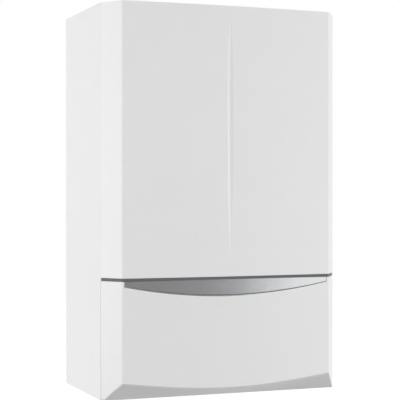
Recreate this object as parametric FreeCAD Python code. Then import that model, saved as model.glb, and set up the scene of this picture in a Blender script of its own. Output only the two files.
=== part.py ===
"""Wall-hung condensing boiler: casing, drop-down flap, controls, burner side and water side.

Millimetres. +X is to the right seen from the front, +Y goes into the wall and +Z is up.
The origin is midway between the two wall screws, on the wall plane.
"""
import FreeCAD
import Part
import math
import os

V = FreeCAD.Vector

# Casing
CASE_H = 900.0          # overall height of the casing
CASE_W = 588.0          # overall width
CASE_D = 340.0          # wall to the front face at its upright edges
FRONT_DEPTH = 50.0      # depth of the front cover and of the flap
BEVEL_IN = 36.0         # how far each bevelled front corner steps in
BOW = 10.0              # swell of the front face at its middle
EDGE_R = 4.0            # rounding of the upright front edges
SHEET = 1.2             # casing sheet steel
RETURN = 26.0           # inward return along the panel edges
TRAY_LIP = 20.0         # turned edge of the top, bottom and divider trays
HANG_DROP = 60.0        # casing top above the wall screws
BACK_GAP = 16.0         # wall to the back frame's plate
FRAME_T = 1.5           # back frame sheet
FLAP_H = 270.0          # casing bottom to the flap's top edge
GAP_H = 7.4             # shadow gap between flap and cover
FLOOR_RISE = 14.0       # divider top above the cover's lower edge

# Wall bracket
BRACKET_W = 400.0
BRACKET_H = 60.0
BRACKET_T = 2.5
SCREW_SPACING = 300.0
SCREW_R = 4.5
HOOK_W = 60.0
HOOK_X = 75.0
HOOK_Z = 26.0           # underside of the hook tongues
HOOK_LIP = 16.0         # upturned lip of each hook
HOOK_PLAY = 1.5

# Front cover
GASKET_T = 3.0
GASKET_W = 8.0
GASKET_IN = 6.0         # gasket edge inside the casing outline
COVER_LIP = 12.0        # turned lower edge of the cover
GROOVE_TOP = 16.0       # groove ends below the cover's top edge
GROOVE_LOW = 20.0       # and above its lower edge
GROOVE_HALF = 7.0       # half width at the widest place
GROOVE_WIDE = 0.36      # widest place, as a share of the groove's length from the top
GROOVE_DEPTH = 5.0
GROOVE_STEPS = 6        # lengths that the curve is made of, each side of the widest place
GROOVE_RUN = 0.9        # spindle's end radius as a share of its axis's distance from the face
PEG_IN = 20.0           # cover pegs in from the casing outline
PEG_R = 3.0
PEG_L = 15.0
PEG_ENDS = 90.0         # pegs from the upper and lower edges of the cover
CLIP_W = 10.0
CLIP_H = 20.0
CLIP_T = 6.0
RUN_GAP = 0.3           # clearance between pieces that move apart

# Trim strip in the gap
TRIM_IN = 2.0
TRIM_WALL = 2.5
TRIM_PLAY = 0.7

# Flap
FLAP_WALL = 2.5
FLAP_GAP = 1.0          # flap's rear edge to the side panels
GRIP_END = 12.6         # height of the finger grip at its ends
GRIP_MID = 38.0         # and at the middle
GRIP_RUN = 1.0          # depth of the grip at its ends
GRIP_DISH = 3.0         # hollow of its rear between the ends
GRIP_WALL = 2.0
BAND_END = 39.5         # lower trim's upper edge above the bottom, at the face's ends
BAND_MID = 20.0         # and at the middle
BAND_T = 3.0
BAND_BACK = 41.0        # face to the trim's rear edge
HINGE_UP = 10.0         # hinge axis above the casing bottom
HINGE_FWD = 12.0        # and ahead of the side panels
HINGE_SIDE = 79.0       # hinges in from the casing's sides
HEEL_PLAY = 0.5
PIN_R = 2.0
PIN_PLAY = 0.1
KNUCKLE_R = 4.0
ARM_W = 6.0
ARM_H = 5.0
ARM_LEAN = 0.58         # how far an arm goes back for each millimetre it rises
EAR_W = 3.0
EAR_PLAY = 0.5
FOOT_W = 26.0
FOOT_T = 2.0
CATCH_SIDE = 46.0       # catches in from the fascia's ends
CATCH_W = 30.0
CATCH_H = 12.0
CATCH_DROP = 8.0        # catch top below the flap's top plate
CATCH_PLAY = 0.8
STRIKE_T = 1.5

# Control panel behind the flap
FASCIA_SIDE = 48.0      # fascia's ends in from the casing's sides
FASCIA_H = 224.0
FASCIA_T = 3.0
FASCIA_R = 8.0
FASCIA_UP = 32.0        # fascia's lower edge above the casing bottom
FASCIA_SET = 4.0        # fascia face behind the side panels' front
BOX_DEPTH = 60.0
BOX_WALL = 2.5
LEG_W = 24.0
LEG_D = 30.0
LEG_SIDE = 96.0         # legs in from the fascia's ends
WINDOW_W = 120.0
WINDOW_H = 62.0
WINDOW_X = -20.0
WINDOW_UP = 146.0       # window centre above the fascia's lower edge
WINDOW_T = 2.0
WINDOW_RIM = 4.0
MODULE_T = 8.0
KNOB_R = 21.0
KNOB_H = 18.0
KNOB_SIDE = 56.0        # second knob in from the fascia's right end
KNOB_PITCH = 70.0
KNOB_UP = 146.0
KNOB_GRIP = 7.0         # width of the knob's raised grip bar
SHAFT_R = 3.0
SHAFT_PLAY = 0.3
BUTTON_W = 18.0
BUTTON_H = 10.0
BUTTON_PITCH = 34.0
BUTTON_COUNT = 4
BUTTON_UP = 74.0
BUTTON_RISE = 3.0       # cap above the fascia
BUTTON_FLANGE = 2.0
BUTTON_PLAY = 0.3
GAUGE_SIDE = 71.0       # gauge in from the fascia's left end
GAUGE_UP = 130.0
GAUGE_R = 27.0
GAUGE_BEZEL = 3.0
GAUGE_WALL = 1.5
GAUGE_DEPTH = 26.0
DIAL_BACK = 6.0         # dial face behind the fascia face
NEEDLE_L = 17.0
NEEDLE_T = 0.8
LENS_T = 1.2
BOARD_SIDE = 56.0       # board in from the fascia's ends
BOARD_H = 150.0
BOARD_T = 1.6
BOARD_BACK = 16.0       # board behind to the box's rear wall
BOSS_R = 4.0
RELAY = 16.0
GLAND_R = 9.0
GLAND_XS = (-120.0, -80.0, -40.0)
GLAND_L = 22.0

# Heat exchanger and burner
CONN_SHARE = 15 / 34    # plane of the pipes and of the exchanger's axis, as a share of the depth
EX_DROP = 290.0         # exchanger axis below the casing top
EX_X = -20.0            # burner end of the shell
EX_SIDE = 29.0          # drum's end in from the casing's right side
EX_SHARE = 25 / 68      # drum radius as a share of the depth
EX_WALL = 4.0
EX_DOME = 14.0
LUG_W = 20.0
LUG_H = 80.0
LUG_IN = 60.0           # lugs in from the drum's ends
STUB_R = 16.0
STUB_L = 20.0
COIL_GAP = 13.0         # coil inside the drum
COIL_T = 30.0           # radial depth of the coil
COIL_WALL = 1.5
COIL_TURNS = 9
COIL_GROOVE = 6.0
COIL_PLAY = 0.3
COIL_END = 6.0
BURNER_R = 38.0
BURNER_L = 150.0
BURNER_WALL = 2.0
BURNER_FLANGE_R = 46.0
BURNER_FLANGE_T = 3.0
DOOR_IN_R = 1.0         # door's rim inside the drum's radius
DOOR_T = 12.0
DOOR_BORE = 30.0
DOOR_RIBS = 8
RIB_T = 4.0
RIB_H = 6.0
MOUTH_IN = 27.0         # drum's mouth inside its radius
NUT_R = 6.0
NUT_T = 6.0
NUT_COUNT = 6
NUT_IN = 9.0            # nut circle inside the drum's radius
ROD_R = 1.5
ROD_PLAY = 0.4
ROD_IN = 60.0
CERAMIC_R = 6.0
CERAMIC_L = 24.0
ROD_SHARE = 33 / 41     # electrode and sensor from the burner axis, as a share of the coil's bore

# Fan, venturi and gas
FAN_SIDE = 81.0         # fan axis in from the casing's left side
FAN_HALF = 27.0         # half height of the volute
VOLUTE_MAX = 76.0       # scroll radius at the outlet
VOLUTE_STEP = 4.0       # fall of the scroll's radius at each quarter turn
FAN_WALL = 2.5
FAN_EYE = 28.0
OUTLET_W = 40.0
OUTLET_REACH = 72.0     # outlet flange from the fan axis
DUCT_FLANGE = 6.0
IMPELLER_R = 50.0
IMPELLER_BLADES = 12
BLADE_T = 1.6
BLADE_IN = 26.0
BLADE_SWEEP = 35.0      # backward sweep of the blades, degrees
BLADE_H = 26.0
HUB_R = 9.0
PLATE_T = 2.0
FAN_SHAFT_R = 4.0
FAN_SHAFT_L = 30.0
MOTOR_R = 40.0
MOTOR_L = 52.0
MOTOR_FINS = 4
FIN_D = 2.0
VENTURI_R = 34.0
VENTURI_THROAT = 20.0
VENTURI_L = 84.0
VENTURI_WALL = 3.0
PORT_R = 11.0
PORT_SHARE = 0.9        # venturi port's end, as a share of the way to the gas valve
GAS_OFF = 72.0          # gas line from the fan axis
VALVE_W = 70.0
VALVE_D = 80.0
VALVE_SHARE = 0.43      # gas valve's height, as a share of the space under its top
VALVE_TOP = 62.0        # gas valve's top below the fan axis
VALVE_OUT = 30.0        # its outlet below its top
CAP_SHARE = 0.164       # radius of its coil caps, as a share of its height
COIL_CAP_H = 26.0
PIPE_R = 11.0
PIPE_WALL = 1.0
HOLE_PLAY = 1.5
GAS_STUB_R = 13.2       # G 3/4 male end
WATER_STUB_R = 16.6     # G 1 male end
STUB_REACH = 12.0       # connections below the casing
STUB_THREAD = 11.0

# Flue
FLUE_SHARE = 25 / 49    # flue from the middle, as a share of the half width
FLUE_R = 40.0           # bore of the flue-gas socket
FLUE_WALL = 2.0
DUCT_WALL = 3.0         # flue duct, whose bore steps in below the socket
AIR_R = 62.5            # outer radius of the air collar
COLLAR_WALL = 2.5
COLLAR_UP = 18.0
COLLAR_FLANGE_R = 84.0
COLLAR_FLANGE_T = 3.0
COLLAR_WEBS = 3
FLUE_JOINT = 30.0       # duct joint below the casing top

# Water side
DRAIN_SHARE = 0.8       # drain from the middle, as a share of the half width
RETURN_OFF = 125.0      # return from the drain
FLOW_OFF = 62.0         # flow from the return
PUMP_UP = 120.0         # pump centre above the casing bottom
PUMP_R = 42.0
PUMP_HALF = 20.0
PUMP_WALL = 5.0
PUMP_PORT_R = 17.0
PUMP_PORT_L = 62.0
PUMP_WHEEL_R = 33.0
PUMP_BLADES = 6
PUMP_SHAFT_R = 4.0
PUMP_SHAFT_L = 30.0
PUMP_MOTOR_R = 38.0
PUMP_MOTOR_L = 60.0
MANIFOLD_UP = 200.0     # manifold top above the casing bottom
MANIFOLD_R = 18.0
MANIFOLD_H = 70.0
VALVE_ARM = 34.0
SAFETY_R = 15.0
SAFETY_H = 46.0
SAFETY_CAP_R = 20.0
SAFETY_CAP_H = 22.0
VESSEL_R = 70.0
VESSEL_SIDE = 16.0      # vessel's end in from the casing's left side
VESSEL_END = 52.0       # its other end right of the middle
VESSEL_WALL = 1.5
VESSEL_DROP = 85.0
VESSEL_Y = -96.0
VESSEL_DISH = 30.0
VESSEL_SEAM = 3.0
SADDLE_W = 24.0
SADDLE_H = 70.0
SADDLE_IN = 65.0        # saddles in from the vessel's ends
SIPHON_R = 28.0
SIPHON_UP = 60.0        # siphon's bowl bottom above the casing bottom
SIPHON_H = 170.0
DRAIN_R = 12.0
WASTE_R = 12.0
WASTE_WALL = 2.0
TUBE_R = 5.0            # tube between the vessel and the manifold
TUBE_X = -75.0
TUBE_Y = -50.0
TUBE_BEND = 20.0
PORT_OUT = 30.0         # flat of the manifold's vessel port from its axis

# Levels and planes that follow from the sizes above
TOP = HANG_DROP
BOTTOM = TOP - CASE_H
SEAM_Y = FRONT_DEPTH - CASE_D
FACE_Y = -CASE_D
HALF_W = CASE_W / 2
INNER_X = HALF_W - SHEET
HINGE_X = HALF_W - HINGE_SIDE
FASCIA_W = CASE_W - 2 * FASCIA_SIDE
FASCIA_HALF = FASCIA_W / 2
CATCH_X = FASCIA_HALF - CATCH_SIDE
LEG_X = FASCIA_HALF - LEG_SIDE
KNOB_XS = (FASCIA_HALF - KNOB_SIDE - KNOB_PITCH, FASCIA_HALF - KNOB_SIDE)
GAUGE_X = GAUGE_SIDE - FASCIA_HALF
BOARD_W = FASCIA_W - 2 * BOARD_SIDE
CONN_Y = -CASE_D * CONN_SHARE
EX_R = CASE_D * EX_SHARE
EX_LEN = HALF_W - EX_SIDE - EX_X
LUG_XS = (EX_X + LUG_IN, EX_X + EX_LEN - LUG_IN)
COIL_OUT = EX_R - COIL_GAP
COIL_IN = COIL_OUT - COIL_T
DOOR_R = EX_R - DOOR_IN_R
MOUTH_R = EX_R - MOUTH_IN
NUT_CIRCLE = EX_R - NUT_IN
ROD_OFF = COIL_IN * ROD_SHARE
FAN_X = FAN_SIDE - HALF_W
GAS_X = FAN_X + GAS_OFF
PORT_REACH = PORT_SHARE * (GAS_OFF - VALVE_W / 2)
DRAIN_X = HALF_W * DRAIN_SHARE
RETURN_X = DRAIN_X - RETURN_OFF
FLOW_X = RETURN_X - FLOW_OFF
FLUE_X = HALF_W * FLUE_SHARE
VESSEL_X0 = VESSEL_SIDE - HALF_W
VESSEL_L = VESSEL_END - VESSEL_X0
SADDLE_XS = (VESSEL_X0 + SADDLE_IN, VESSEL_END - SADDLE_IN)
PORT_Y = CONN_Y + PORT_OUT
BACK_Y = -BACK_GAP - FRAME_T
FLAP_TOP = BOTTOM + FLAP_H
COVER_LOW = FLAP_TOP + GAP_H
FLOOR_Z = COVER_LOW + FLOOR_RISE
HINGE_Y = SEAM_Y - HINGE_FWD
HINGE_Z = BOTTOM + HINGE_UP
HEEL_R = HINGE_FWD - HEEL_PLAY
FLAP_REAR = SEAM_Y - FLAP_GAP
FASCIA_Y = SEAM_Y + FASCIA_SET
FASCIA_LOW = BOTTOM + FASCIA_UP
BOX_Y = FASCIA_Y + FASCIA_T
BOX_REAR = BOX_Y + BOX_DEPTH
EX_Z = TOP - EX_DROP
DOOR_IN = EX_X
DOOR_OUT = DOOR_IN - DOOR_T
FAN_Z = EX_Z
PUMP_Z = BOTTOM + PUMP_UP
MANIFOLD_Z = BOTTOM + MANIFOLD_UP
STUB_LOW = BOTTOM - STUB_REACH
VALVE_Z = FAN_Z - VALVE_TOP
VALVE_H = (VALVE_Z - FLOOR_Z) * VALVE_SHARE
COIL_CAP_R = VALVE_H * CAP_SHARE
VESSEL_Z = TOP - VESSEL_DROP
SIPHON_Z = BOTTOM + SIPHON_UP
EX_STUB_LOW = EX_Z - EX_R - STUB_L
X_AXIS = V(1, 0, 0)
Y_AXIS = V(0, 1, 0)
Z_AXIS = V(0, 0, 1)


def box(x0, x1, y0, y1, z0, z1):
    """Box between two corners."""
    return Part.makeBox(x1 - x0, y1 - y0, z1 - z0, V(x0, y0, z0))


def rod(start, axis, radius, length):
    """Cylinder from a point along an axis."""
    return Part.makeCylinder(radius, length, V(*start), axis)


def pipe(start, axis, radius, wall, length):
    """Hollow cylinder from a point along an axis."""
    outer = rod(start, axis, radius, length)
    return outer.cut(rod(start, axis, radius - wall, length))


def fused(first, *others):
    """One solid from touching or overlapping pieces."""
    return first.multiFuse(list(others)).removeSplitter()


def turned(points, start, axis):
    """Revolve a closed outline of (radius, distance along the axis) points."""
    wire = Part.makePolygon([V(r, 0, s) for r, s in points + points[:1]])
    solid = Part.Face(wire).revolve(V(0, 0, 0), Z_AXIS, 360)
    turn = FreeCAD.Rotation(Z_AXIS, axis)
    solid.Placement = FreeCAD.Placement(V(*start), turn)
    return solid


def prism_xz(points, y0, y1):
    """Extrude a closed XZ outline along Y."""
    wire = Part.makePolygon([V(x, y0, z) for x, z in points + points[:1]])
    return Part.Face(wire).extrude(V(0, y1 - y0, 0))


def rounded_plate(width, height, radius, centre_x, low_z, y0, y1):
    """Upright plate with rounded corners."""
    plate = box(centre_x - width / 2, centre_x + width / 2, y0, y1, low_z, low_z + height)
    corners = [e for e in plate.Edges if abs(e.tangentAt(e.FirstParameter).y) > 0.99]
    return plate.makeFillet(radius, corners)


def save(name, shape):
    """Write one node."""
    shape.exportStep("parts/" + name + ".step")


def group(shapes):
    """Separate solids that share a node."""
    return Part.makeCompound(shapes)


def mirrored(shape):
    """The same piece on the other side of the middle."""
    return shape.mirror(V(0, 0, 0), X_AXIS)


def front_outline():
    """Plan of the front: bevelled corners, a bowed face and rounded upright edges."""
    corner = HALF_W - BEVEL_IN
    points = [V(corner, FACE_Y, 0), V(HALF_W, SEAM_Y, 0), V(HALF_W, 0, 0)]
    points += [V(-HALF_W, 0, 0), V(-HALF_W, SEAM_Y, 0), V(-corner, FACE_Y, 0)]
    face_arc = Part.Arc(points[-1], V(0, FACE_Y - BOW, 0), points[0]).toShape()
    wire = Part.Wire([face_arc] + Part.makePolygon(points).Edges)
    block = Part.Face(wire).extrude(V(0, 0, CASE_H))
    upright = [e for e in block.Edges if e.BoundBox.ZLength > 1 and abs(e.CenterOfMass.y - FACE_Y) < 0.01]
    block = block.makeFillet(EDGE_R, upright)
    return min(block.Faces, key=lambda face: face.CenterOfMass.z)


OUTLINE = front_outline()


def front_prism(inset, low, high, rear):
    """Body with the front's plan, stepped in all round and cut off at its rear."""
    face = OUTLINE.makeOffset2D(-inset, join=2) if inset else OUTLINE.copy()
    face.translate(V(0, 0, low))
    body = face.extrude(V(0, 0, high - low))
    return body.common(box(-HALF_W, HALF_W, FACE_Y - BOW, rear, low, high))


def wall_bracket():
    """Wall strip with two screw holes and two upturned hooks for the back frame."""
    plate = box(-BRACKET_W / 2, BRACKET_W / 2, -BRACKET_T, 0, -BRACKET_H / 2, BRACKET_H / 2)
    lip_y = BACK_Y - HOOK_PLAY
    hooks = []
    for side in (-1, 1):
        x0 = side * HOOK_X - HOOK_W / 2
        hooks.append(box(x0, x0 + HOOK_W, lip_y - BRACKET_T, 0, HOOK_Z, HOOK_Z + BRACKET_T))
        lip_top = HOOK_Z + BRACKET_T + HOOK_LIP
        hooks.append(box(x0, x0 + HOOK_W, lip_y - BRACKET_T, lip_y, HOOK_Z, lip_top))
    body = fused(plate, *hooks)
    for side in (-1, 1):
        hole = rod((side * SCREW_SPACING / 2, -BRACKET_T, 0), Y_AXIS, SCREW_R, BRACKET_T)
        body = body.cut(hole)
    return body


def back_frame():
    """Shallow tray open to the wall, with slots that hang on the bracket's hooks."""
    body = box(-INNER_X, INNER_X, BACK_Y, -SHEET, BOTTOM, TOP)
    inside = INNER_X - FRAME_T
    body = body.cut(box(-inside, inside, -BACK_GAP, -SHEET, BOTTOM + FRAME_T, TOP - FRAME_T))
    slot_top = HOOK_Z + BRACKET_T
    slot_low = slot_top - HOOK_LIP - 2 * BRACKET_T
    for side in (-1, 1):
        half = HOOK_W / 2 + HOOK_PLAY
        x = side * HOOK_X
        body = body.cut(box(x - half, x + half, BACK_Y, -BACK_GAP, slot_low, slot_top))
    return body


def peg_places():
    """Where the cover's pegs meet the side panels' returns."""
    x = HALF_W - PEG_IN
    heights = (COVER_LOW + PEG_ENDS, TOP - PEG_ENDS)
    return [(side * x, z) for side in (-1, 1) for z in heights]


def side_panel():
    """Right side panel: a sheet with inward returns at the wall and at the front."""
    inner = HALF_W - RETURN
    points = [(HALF_W, 0), (HALF_W, SEAM_Y), (inner, SEAM_Y), (inner, SEAM_Y + SHEET)]
    points += [(INNER_X, SEAM_Y + SHEET), (INNER_X, -SHEET), (inner, -SHEET), (inner, 0)]
    wire = Part.makePolygon([V(x, y, BOTTOM) for x, y in points + points[:1]])
    body = Part.Face(wire).extrude(V(0, 0, CASE_H))
    for x, z in peg_places():
        body = body.cut(rod((x, SEAM_Y, z), Y_AXIS, PEG_R + RUN_GAP, SHEET))
    return body


def tray(low, plate_on_top):
    """Sheet with turned edges, notched round the side panels' front returns."""
    high = low + TRAY_LIP
    body = box(-INNER_X, INNER_X, SEAM_Y, BACK_Y, low, high)
    inside = INNER_X - SHEET
    inner_low = low if plate_on_top else low + SHEET
    inner_high = high - SHEET if plate_on_top else high
    body = body.cut(box(-inside, inside, SEAM_Y + SHEET, BACK_Y - SHEET, inner_low, inner_high))
    for side in (-1, 1):
        x0 = side * HALF_W if side < 0 else HALF_W - RETURN
        body = body.cut(box(x0, x0 + RETURN, SEAM_Y, SEAM_Y + SHEET, low, high))
    return body


def pipe_holes(body, low, holes):
    """Cut clearance holes for (x, radius) pipes through a tray."""
    for x, radius in holes:
        body = body.cut(rod((x, CONN_Y, low), Z_AXIS, radius + HOLE_PLAY, TRAY_LIP))
    return body


def top_panel():
    """Top tray with the opening under the flue collar."""
    body = tray(TOP - TRAY_LIP, True)
    return body.cut(rod((FLUE_X, CONN_Y, TOP - TRAY_LIP), Z_AXIS, AIR_R - COLLAR_WALL, TRAY_LIP))


def bottom_plate():
    """Bottom tray with pipe holes."""
    body = tray(BOTTOM, False)
    holes = [(GAS_X, PIPE_R), (FLOW_X, WATER_STUB_R), (RETURN_X, WATER_STUB_R), (DRAIN_X, DRAIN_R)]
    return pipe_holes(body, BOTTOM, holes)


def chamber_floor():
    """Divider under the sealed chamber."""
    low = FLOOR_Z - TRAY_LIP
    holes = [(GAS_X, PIPE_R), (FLOW_X, PIPE_R), (RETURN_X, PIPE_R), (DRAIN_X, WASTE_R)]
    body = pipe_holes(tray(low, True), low, holes)
    return body.cut(rod((TUBE_X, TUBE_Y, low), Z_AXIS, TUBE_R + HOLE_PLAY, TRAY_LIP))


def groove(swell):
    """Pressed groove: a spindle laid in the face that runs out at both ends."""
    out = (GROOVE_HALF ** 2 - GROOVE_DEPTH ** 2) / (2 * GROOVE_DEPTH)
    end_r = out * GROOVE_RUN + swell
    mid_r = out + GROOVE_DEPTH + swell
    top = TOP - GROOVE_TOP
    low = COVER_LOW + GROOVE_LOW
    wide = top - (top - low) * GROOVE_WIDE
    profile = [(0, low)]
    for i in range(-GROOVE_STEPS, GROOVE_STEPS + 1):
        share = i / GROOVE_STEPS
        reach = top - wide if share > 0 else wide - low
        profile.append((mid_r - (mid_r - end_r) * share ** 2, wide + reach * share))
    profile.append((0, top))
    return turned(profile, (0, FACE_Y - BOW - out, 0), Z_AXIS)


def front_cover():
    """Drawn cover with its groove, a turned lower edge and a flange for the gasket."""
    rear = SEAM_Y - RUN_GAP
    shell = front_prism(0, COVER_LOW, TOP, rear).cut(groove(0))
    hollow = front_prism(SHEET, COVER_LOW, TOP - SHEET, rear).cut(groove(SHEET))
    shell = shell.cut(hollow)
    lip = front_prism(SHEET, COVER_LOW, COVER_LOW + SHEET, rear)
    lip = lip.cut(front_prism(COVER_LIP, COVER_LOW, COVER_LOW + SHEET, rear))
    flange_y = SEAM_Y - GASKET_T
    flange = front_prism(SHEET, COVER_LOW, TOP - SHEET, flange_y)
    opening = HALF_W - RETURN
    flange = flange.common(box(-HALF_W, HALF_W, flange_y - SHEET, flange_y, COVER_LOW, TOP))
    flange = flange.cut(box(-opening, opening, flange_y - SHEET, flange_y, COVER_LOW + RETURN, TOP - RETURN))
    return fused(shell, lip, flange, *cover_pegs())


def cover_pegs():
    """Four pegs on the cover's flange, pushed through the side panels' returns."""
    start = SEAM_Y - GASKET_T
    tip = PEG_R * 0.6
    neck = PEG_L - PEG_R
    profile = [(0, 0), (PEG_R, 0), (PEG_R, neck), (tip, PEG_L), (0, PEG_L)]
    return [turned(profile, (x, start, z), Y_AXIS) for x, z in peg_places()]


def cover_clips():
    """Spring clips behind the returns that grip the pegs."""
    clips = []
    rear = SEAM_Y + SHEET
    for x, z in peg_places():
        clip = box(x - CLIP_W / 2, x + CLIP_W / 2, rear, rear + CLIP_T, z - CLIP_H / 2, z + CLIP_H / 2)
        clip = clip.cut(rod((x, rear, z), Y_AXIS, PEG_R + RUN_GAP, CLIP_T))
        clips.append(clip)
    return group(clips)


def cover_gasket():
    """Square-section seal round the sealed chamber's front."""
    outer_x = HALF_W - GASKET_IN
    inner_x = outer_x - GASKET_W
    front = SEAM_Y - GASKET_T + RUN_GAP
    low = COVER_LOW + GASKET_IN
    high = TOP - GASKET_IN
    ring = box(-outer_x, outer_x, front, SEAM_Y, low, high)
    return ring.cut(box(-inner_x, inner_x, front, SEAM_Y, low + GASKET_W, high - GASKET_W))


def gap_trim():
    """Dark moulded strip that closes the gap between the cover and the flap."""
    low = FLAP_TOP + TRIM_PLAY
    high = COVER_LOW - RUN_GAP
    body = front_prism(TRIM_IN, low, high, SEAM_Y)
    return body.cut(front_prism(TRIM_IN + TRIM_WALL, low, high - TRIM_WALL, SEAM_Y))


def grip_prism(shrink):
    """Finger grip seen from the front, run through the flap's face: flat top, sagging lower edge."""
    half = HALF_W - BEVEL_IN - EDGE_R - shrink
    y = FACE_Y - BOW
    end_z = FLAP_TOP - GRIP_END + shrink
    mid_z = FLAP_TOP - GRIP_MID + shrink
    top_z = FLAP_TOP + shrink
    sag = Part.Arc(V(-half, y, end_z), V(0, y, mid_z), V(half, y, end_z)).toShape()
    rim = Part.makePolygon([V(half, y, end_z), V(half, y, top_z), V(-half, y, top_z), V(-half, y, end_z)])
    return Part.Face(Part.Wire([sag] + rim.Edges)).extrude(V(0, FRONT_DEPTH, 0))


def grip_scoop(extra):
    """Space in front of the grip's hollow rear, deep in the middle and shallow at both ends."""
    half = HALF_W - BEVEL_IN
    front_y = FACE_Y - BOW
    end_y = FACE_Y + GRIP_RUN + extra
    rear = Part.Arc(V(-half, end_y, BOTTOM), V(0, end_y + GRIP_DISH, BOTTOM), V(half, end_y, BOTTOM)).toShape()
    left = V(-half, front_y, BOTTOM)
    right = V(half, front_y, BOTTOM)
    rim = Part.makePolygon([V(half, end_y, BOTTOM), right, left, V(-half, end_y, BOTTOM)])
    return Part.Face(Part.Wire([rear] + rim.Edges)).extrude(V(0, 0, FLAP_TOP - BOTTOM))


def grip_block():
    """Space in the flap's face that the finger-grip insert fills."""
    skin = front_prism(0, BOTTOM, FLAP_TOP, FLAP_REAR).common(grip_scoop(GRIP_WALL))
    return grip_prism(0).common(skin)


def flap_grip_insert():
    """Dished insert for the fingers, open at the front and at the top."""
    return grip_block().cut(grip_prism(GRIP_WALL).common(grip_scoop(0)))


def band_surface():
    """Ruled underside of the lower trim: an arc along the face, a straight line at the rear."""
    near = FACE_Y + BAND_BACK
    far = FACE_Y - BOW - BAND_T
    end_rise = BAND_END * (near - far) / (near - FACE_Y)
    mid_rise = BAND_MID * (near - far) / (near - FACE_Y + BOW)
    edge_x = HALF_W - BEVEL_IN
    sag = end_rise - mid_rise
    radius = (edge_x ** 2 + sag ** 2) / (2 * sag)
    side_rise = mid_rise + radius - math.sqrt(radius ** 2 - HALF_W ** 2)
    left = V(-HALF_W, far, BOTTOM + side_rise)
    right = V(HALF_W, far, BOTTOM + side_rise)
    arc = Part.Arc(left, V(0, far, BOTTOM + mid_rise), right).toShape()
    line = Part.makeLine(V(-HALF_W, near, BOTTOM), V(HALF_W, near, BOTTOM))
    return Part.makeRuledSurface(arc, line)


def heel_cut():
    """What is cut from the flap's lower rear corner so that it swings clear of the casing."""
    corner = box(-HALF_W, HALF_W, HINGE_Y, SEAM_Y, BOTTOM, HINGE_Z)
    return corner.cut(rod((-HALF_W, HINGE_Y, HINGE_Z), X_AXIS, HEEL_R, CASE_W))


def flap_panel():
    """White flap: bowed face, bevelled ends and a top edge, open at the rear and below."""
    body = front_prism(0, BOTTOM, FLAP_TOP, FLAP_REAR)
    body = body.cut(front_prism(FLAP_WALL, BOTTOM, FLAP_TOP - FLAP_WALL, FLAP_REAR))
    below = band_surface()
    below.translate(V(0, 0, BAND_T))
    below = below.extrude(V(0, 0, -FLAP_H))
    heel = box(-HALF_W, HALF_W, FACE_Y + BAND_BACK, FLAP_REAR, BOTTOM, BOTTOM + BAND_T)
    return body.cut(below).cut(heel).cut(grip_block()).cut(heel_cut())


def hinge_ear(x0):
    """Ear that stands on the lower trim and takes a hinge pin."""
    ear = rod((x0, HINGE_Y, HINGE_Z), X_AXIS, KNUCKLE_R, EAR_W)
    web = box(x0, x0 + EAR_W, HINGE_Y - KNUCKLE_R, HINGE_Y + KNUCKLE_R, BOTTOM + BAND_T, HINGE_Z)
    return fused(ear, web)


def flap_bottom_trim():
    """Grey lower trim of the flap with its hinge ears."""
    near = FACE_Y + BAND_BACK
    slope = band_surface().extrude(V(0, 0, BAND_T))
    heel = box(-HALF_W, HALF_W, near, FLAP_REAR, BOTTOM, BOTTOM + BAND_T)
    body = fused(slope, heel).common(front_prism(0, BOTTOM, FLAP_TOP, FLAP_REAR))
    body = body.cut(heel_cut())
    half = ARM_W / 2 + EAR_PLAY
    ears = []
    for side in (-1, 1):
        x = side * HINGE_X
        ears.append(hinge_ear(x - half - EAR_W))
        ears.append(hinge_ear(x + half))
    below = band_surface().extrude(V(0, 0, -FLAP_H))
    body = fused(body, *[ear.cut(below) for ear in ears])
    for side in (-1, 1):
        x = side * HINGE_X
        seat = rod((x - half, HINGE_Y, HINGE_Z), X_AXIS, KNUCKLE_R + EAR_PLAY, 2 * half)
        body = body.cut(seat)
        body = body.cut(box(x - half, x + half, near + EAR_PLAY, SEAM_Y, BOTTOM, BOTTOM + BAND_T))
    return body.cut(rod((-HALF_W, HINGE_Y, HINGE_Z), X_AXIS, PIN_R, CASE_W))


def hinge_brackets():
    """Goose-neck arms that rise from the knuckles, pass over the bottom plate's edge and end in feet."""
    brackets = []
    front = SEAM_Y + SHEET
    rear = front + FOOT_T
    lip = BOTTOM + TRAY_LIP
    low = lip + EAR_PLAY
    high = low + ARM_H
    half = ARM_W / 2
    foot_low = BOTTOM + SHEET + EAR_PLAY
    shoulder = HINGE_Y + ARM_H / 2 + ARM_LEAN * (low - HINGE_Z)
    crown = HINGE_Y - ARM_H / 2 + ARM_LEAN * (high - HINGE_Z)
    side_view = [(HINGE_Y + ARM_H / 2, HINGE_Z), (shoulder, low), (front, low), (front, foot_low)]
    side_view += [(rear, foot_low), (rear, high), (crown, high), (HINGE_Y - ARM_H / 2, HINGE_Z)]
    for side in (-1, 1):
        x = side * HINGE_X
        outline = [V(x - half, y, z) for y, z in side_view + side_view[:1]]
        arm = Part.Face(Part.makePolygon(outline)).extrude(V(ARM_W, 0, 0))
        knuckle = rod((x - half, HINGE_Y, HINGE_Z), X_AXIS, KNUCKLE_R, ARM_W)
        foot = box(x - FOOT_W / 2, x + FOOT_W / 2, front, rear, foot_low, lip)
        body = fused(arm, knuckle, foot)
        brackets.append(body.cut(rod((x - half, HINGE_Y, HINGE_Z), X_AXIS, PIN_R + PIN_PLAY, ARM_W)))
    return group(brackets)


def hinge_pins():
    """Two pins held in the flap's ears."""
    length = ARM_W + 2 * EAR_PLAY + 2 * EAR_W
    starts = [side * HINGE_X - length / 2 for side in (-1, 1)]
    return group([rod((x, HINGE_Y, HINGE_Z), X_AXIS, PIN_R, length) for x in starts])


def catch_z():
    """Top of the catches under the flap's top plate."""
    return FLAP_TOP - FLAP_WALL - CATCH_DROP


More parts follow.
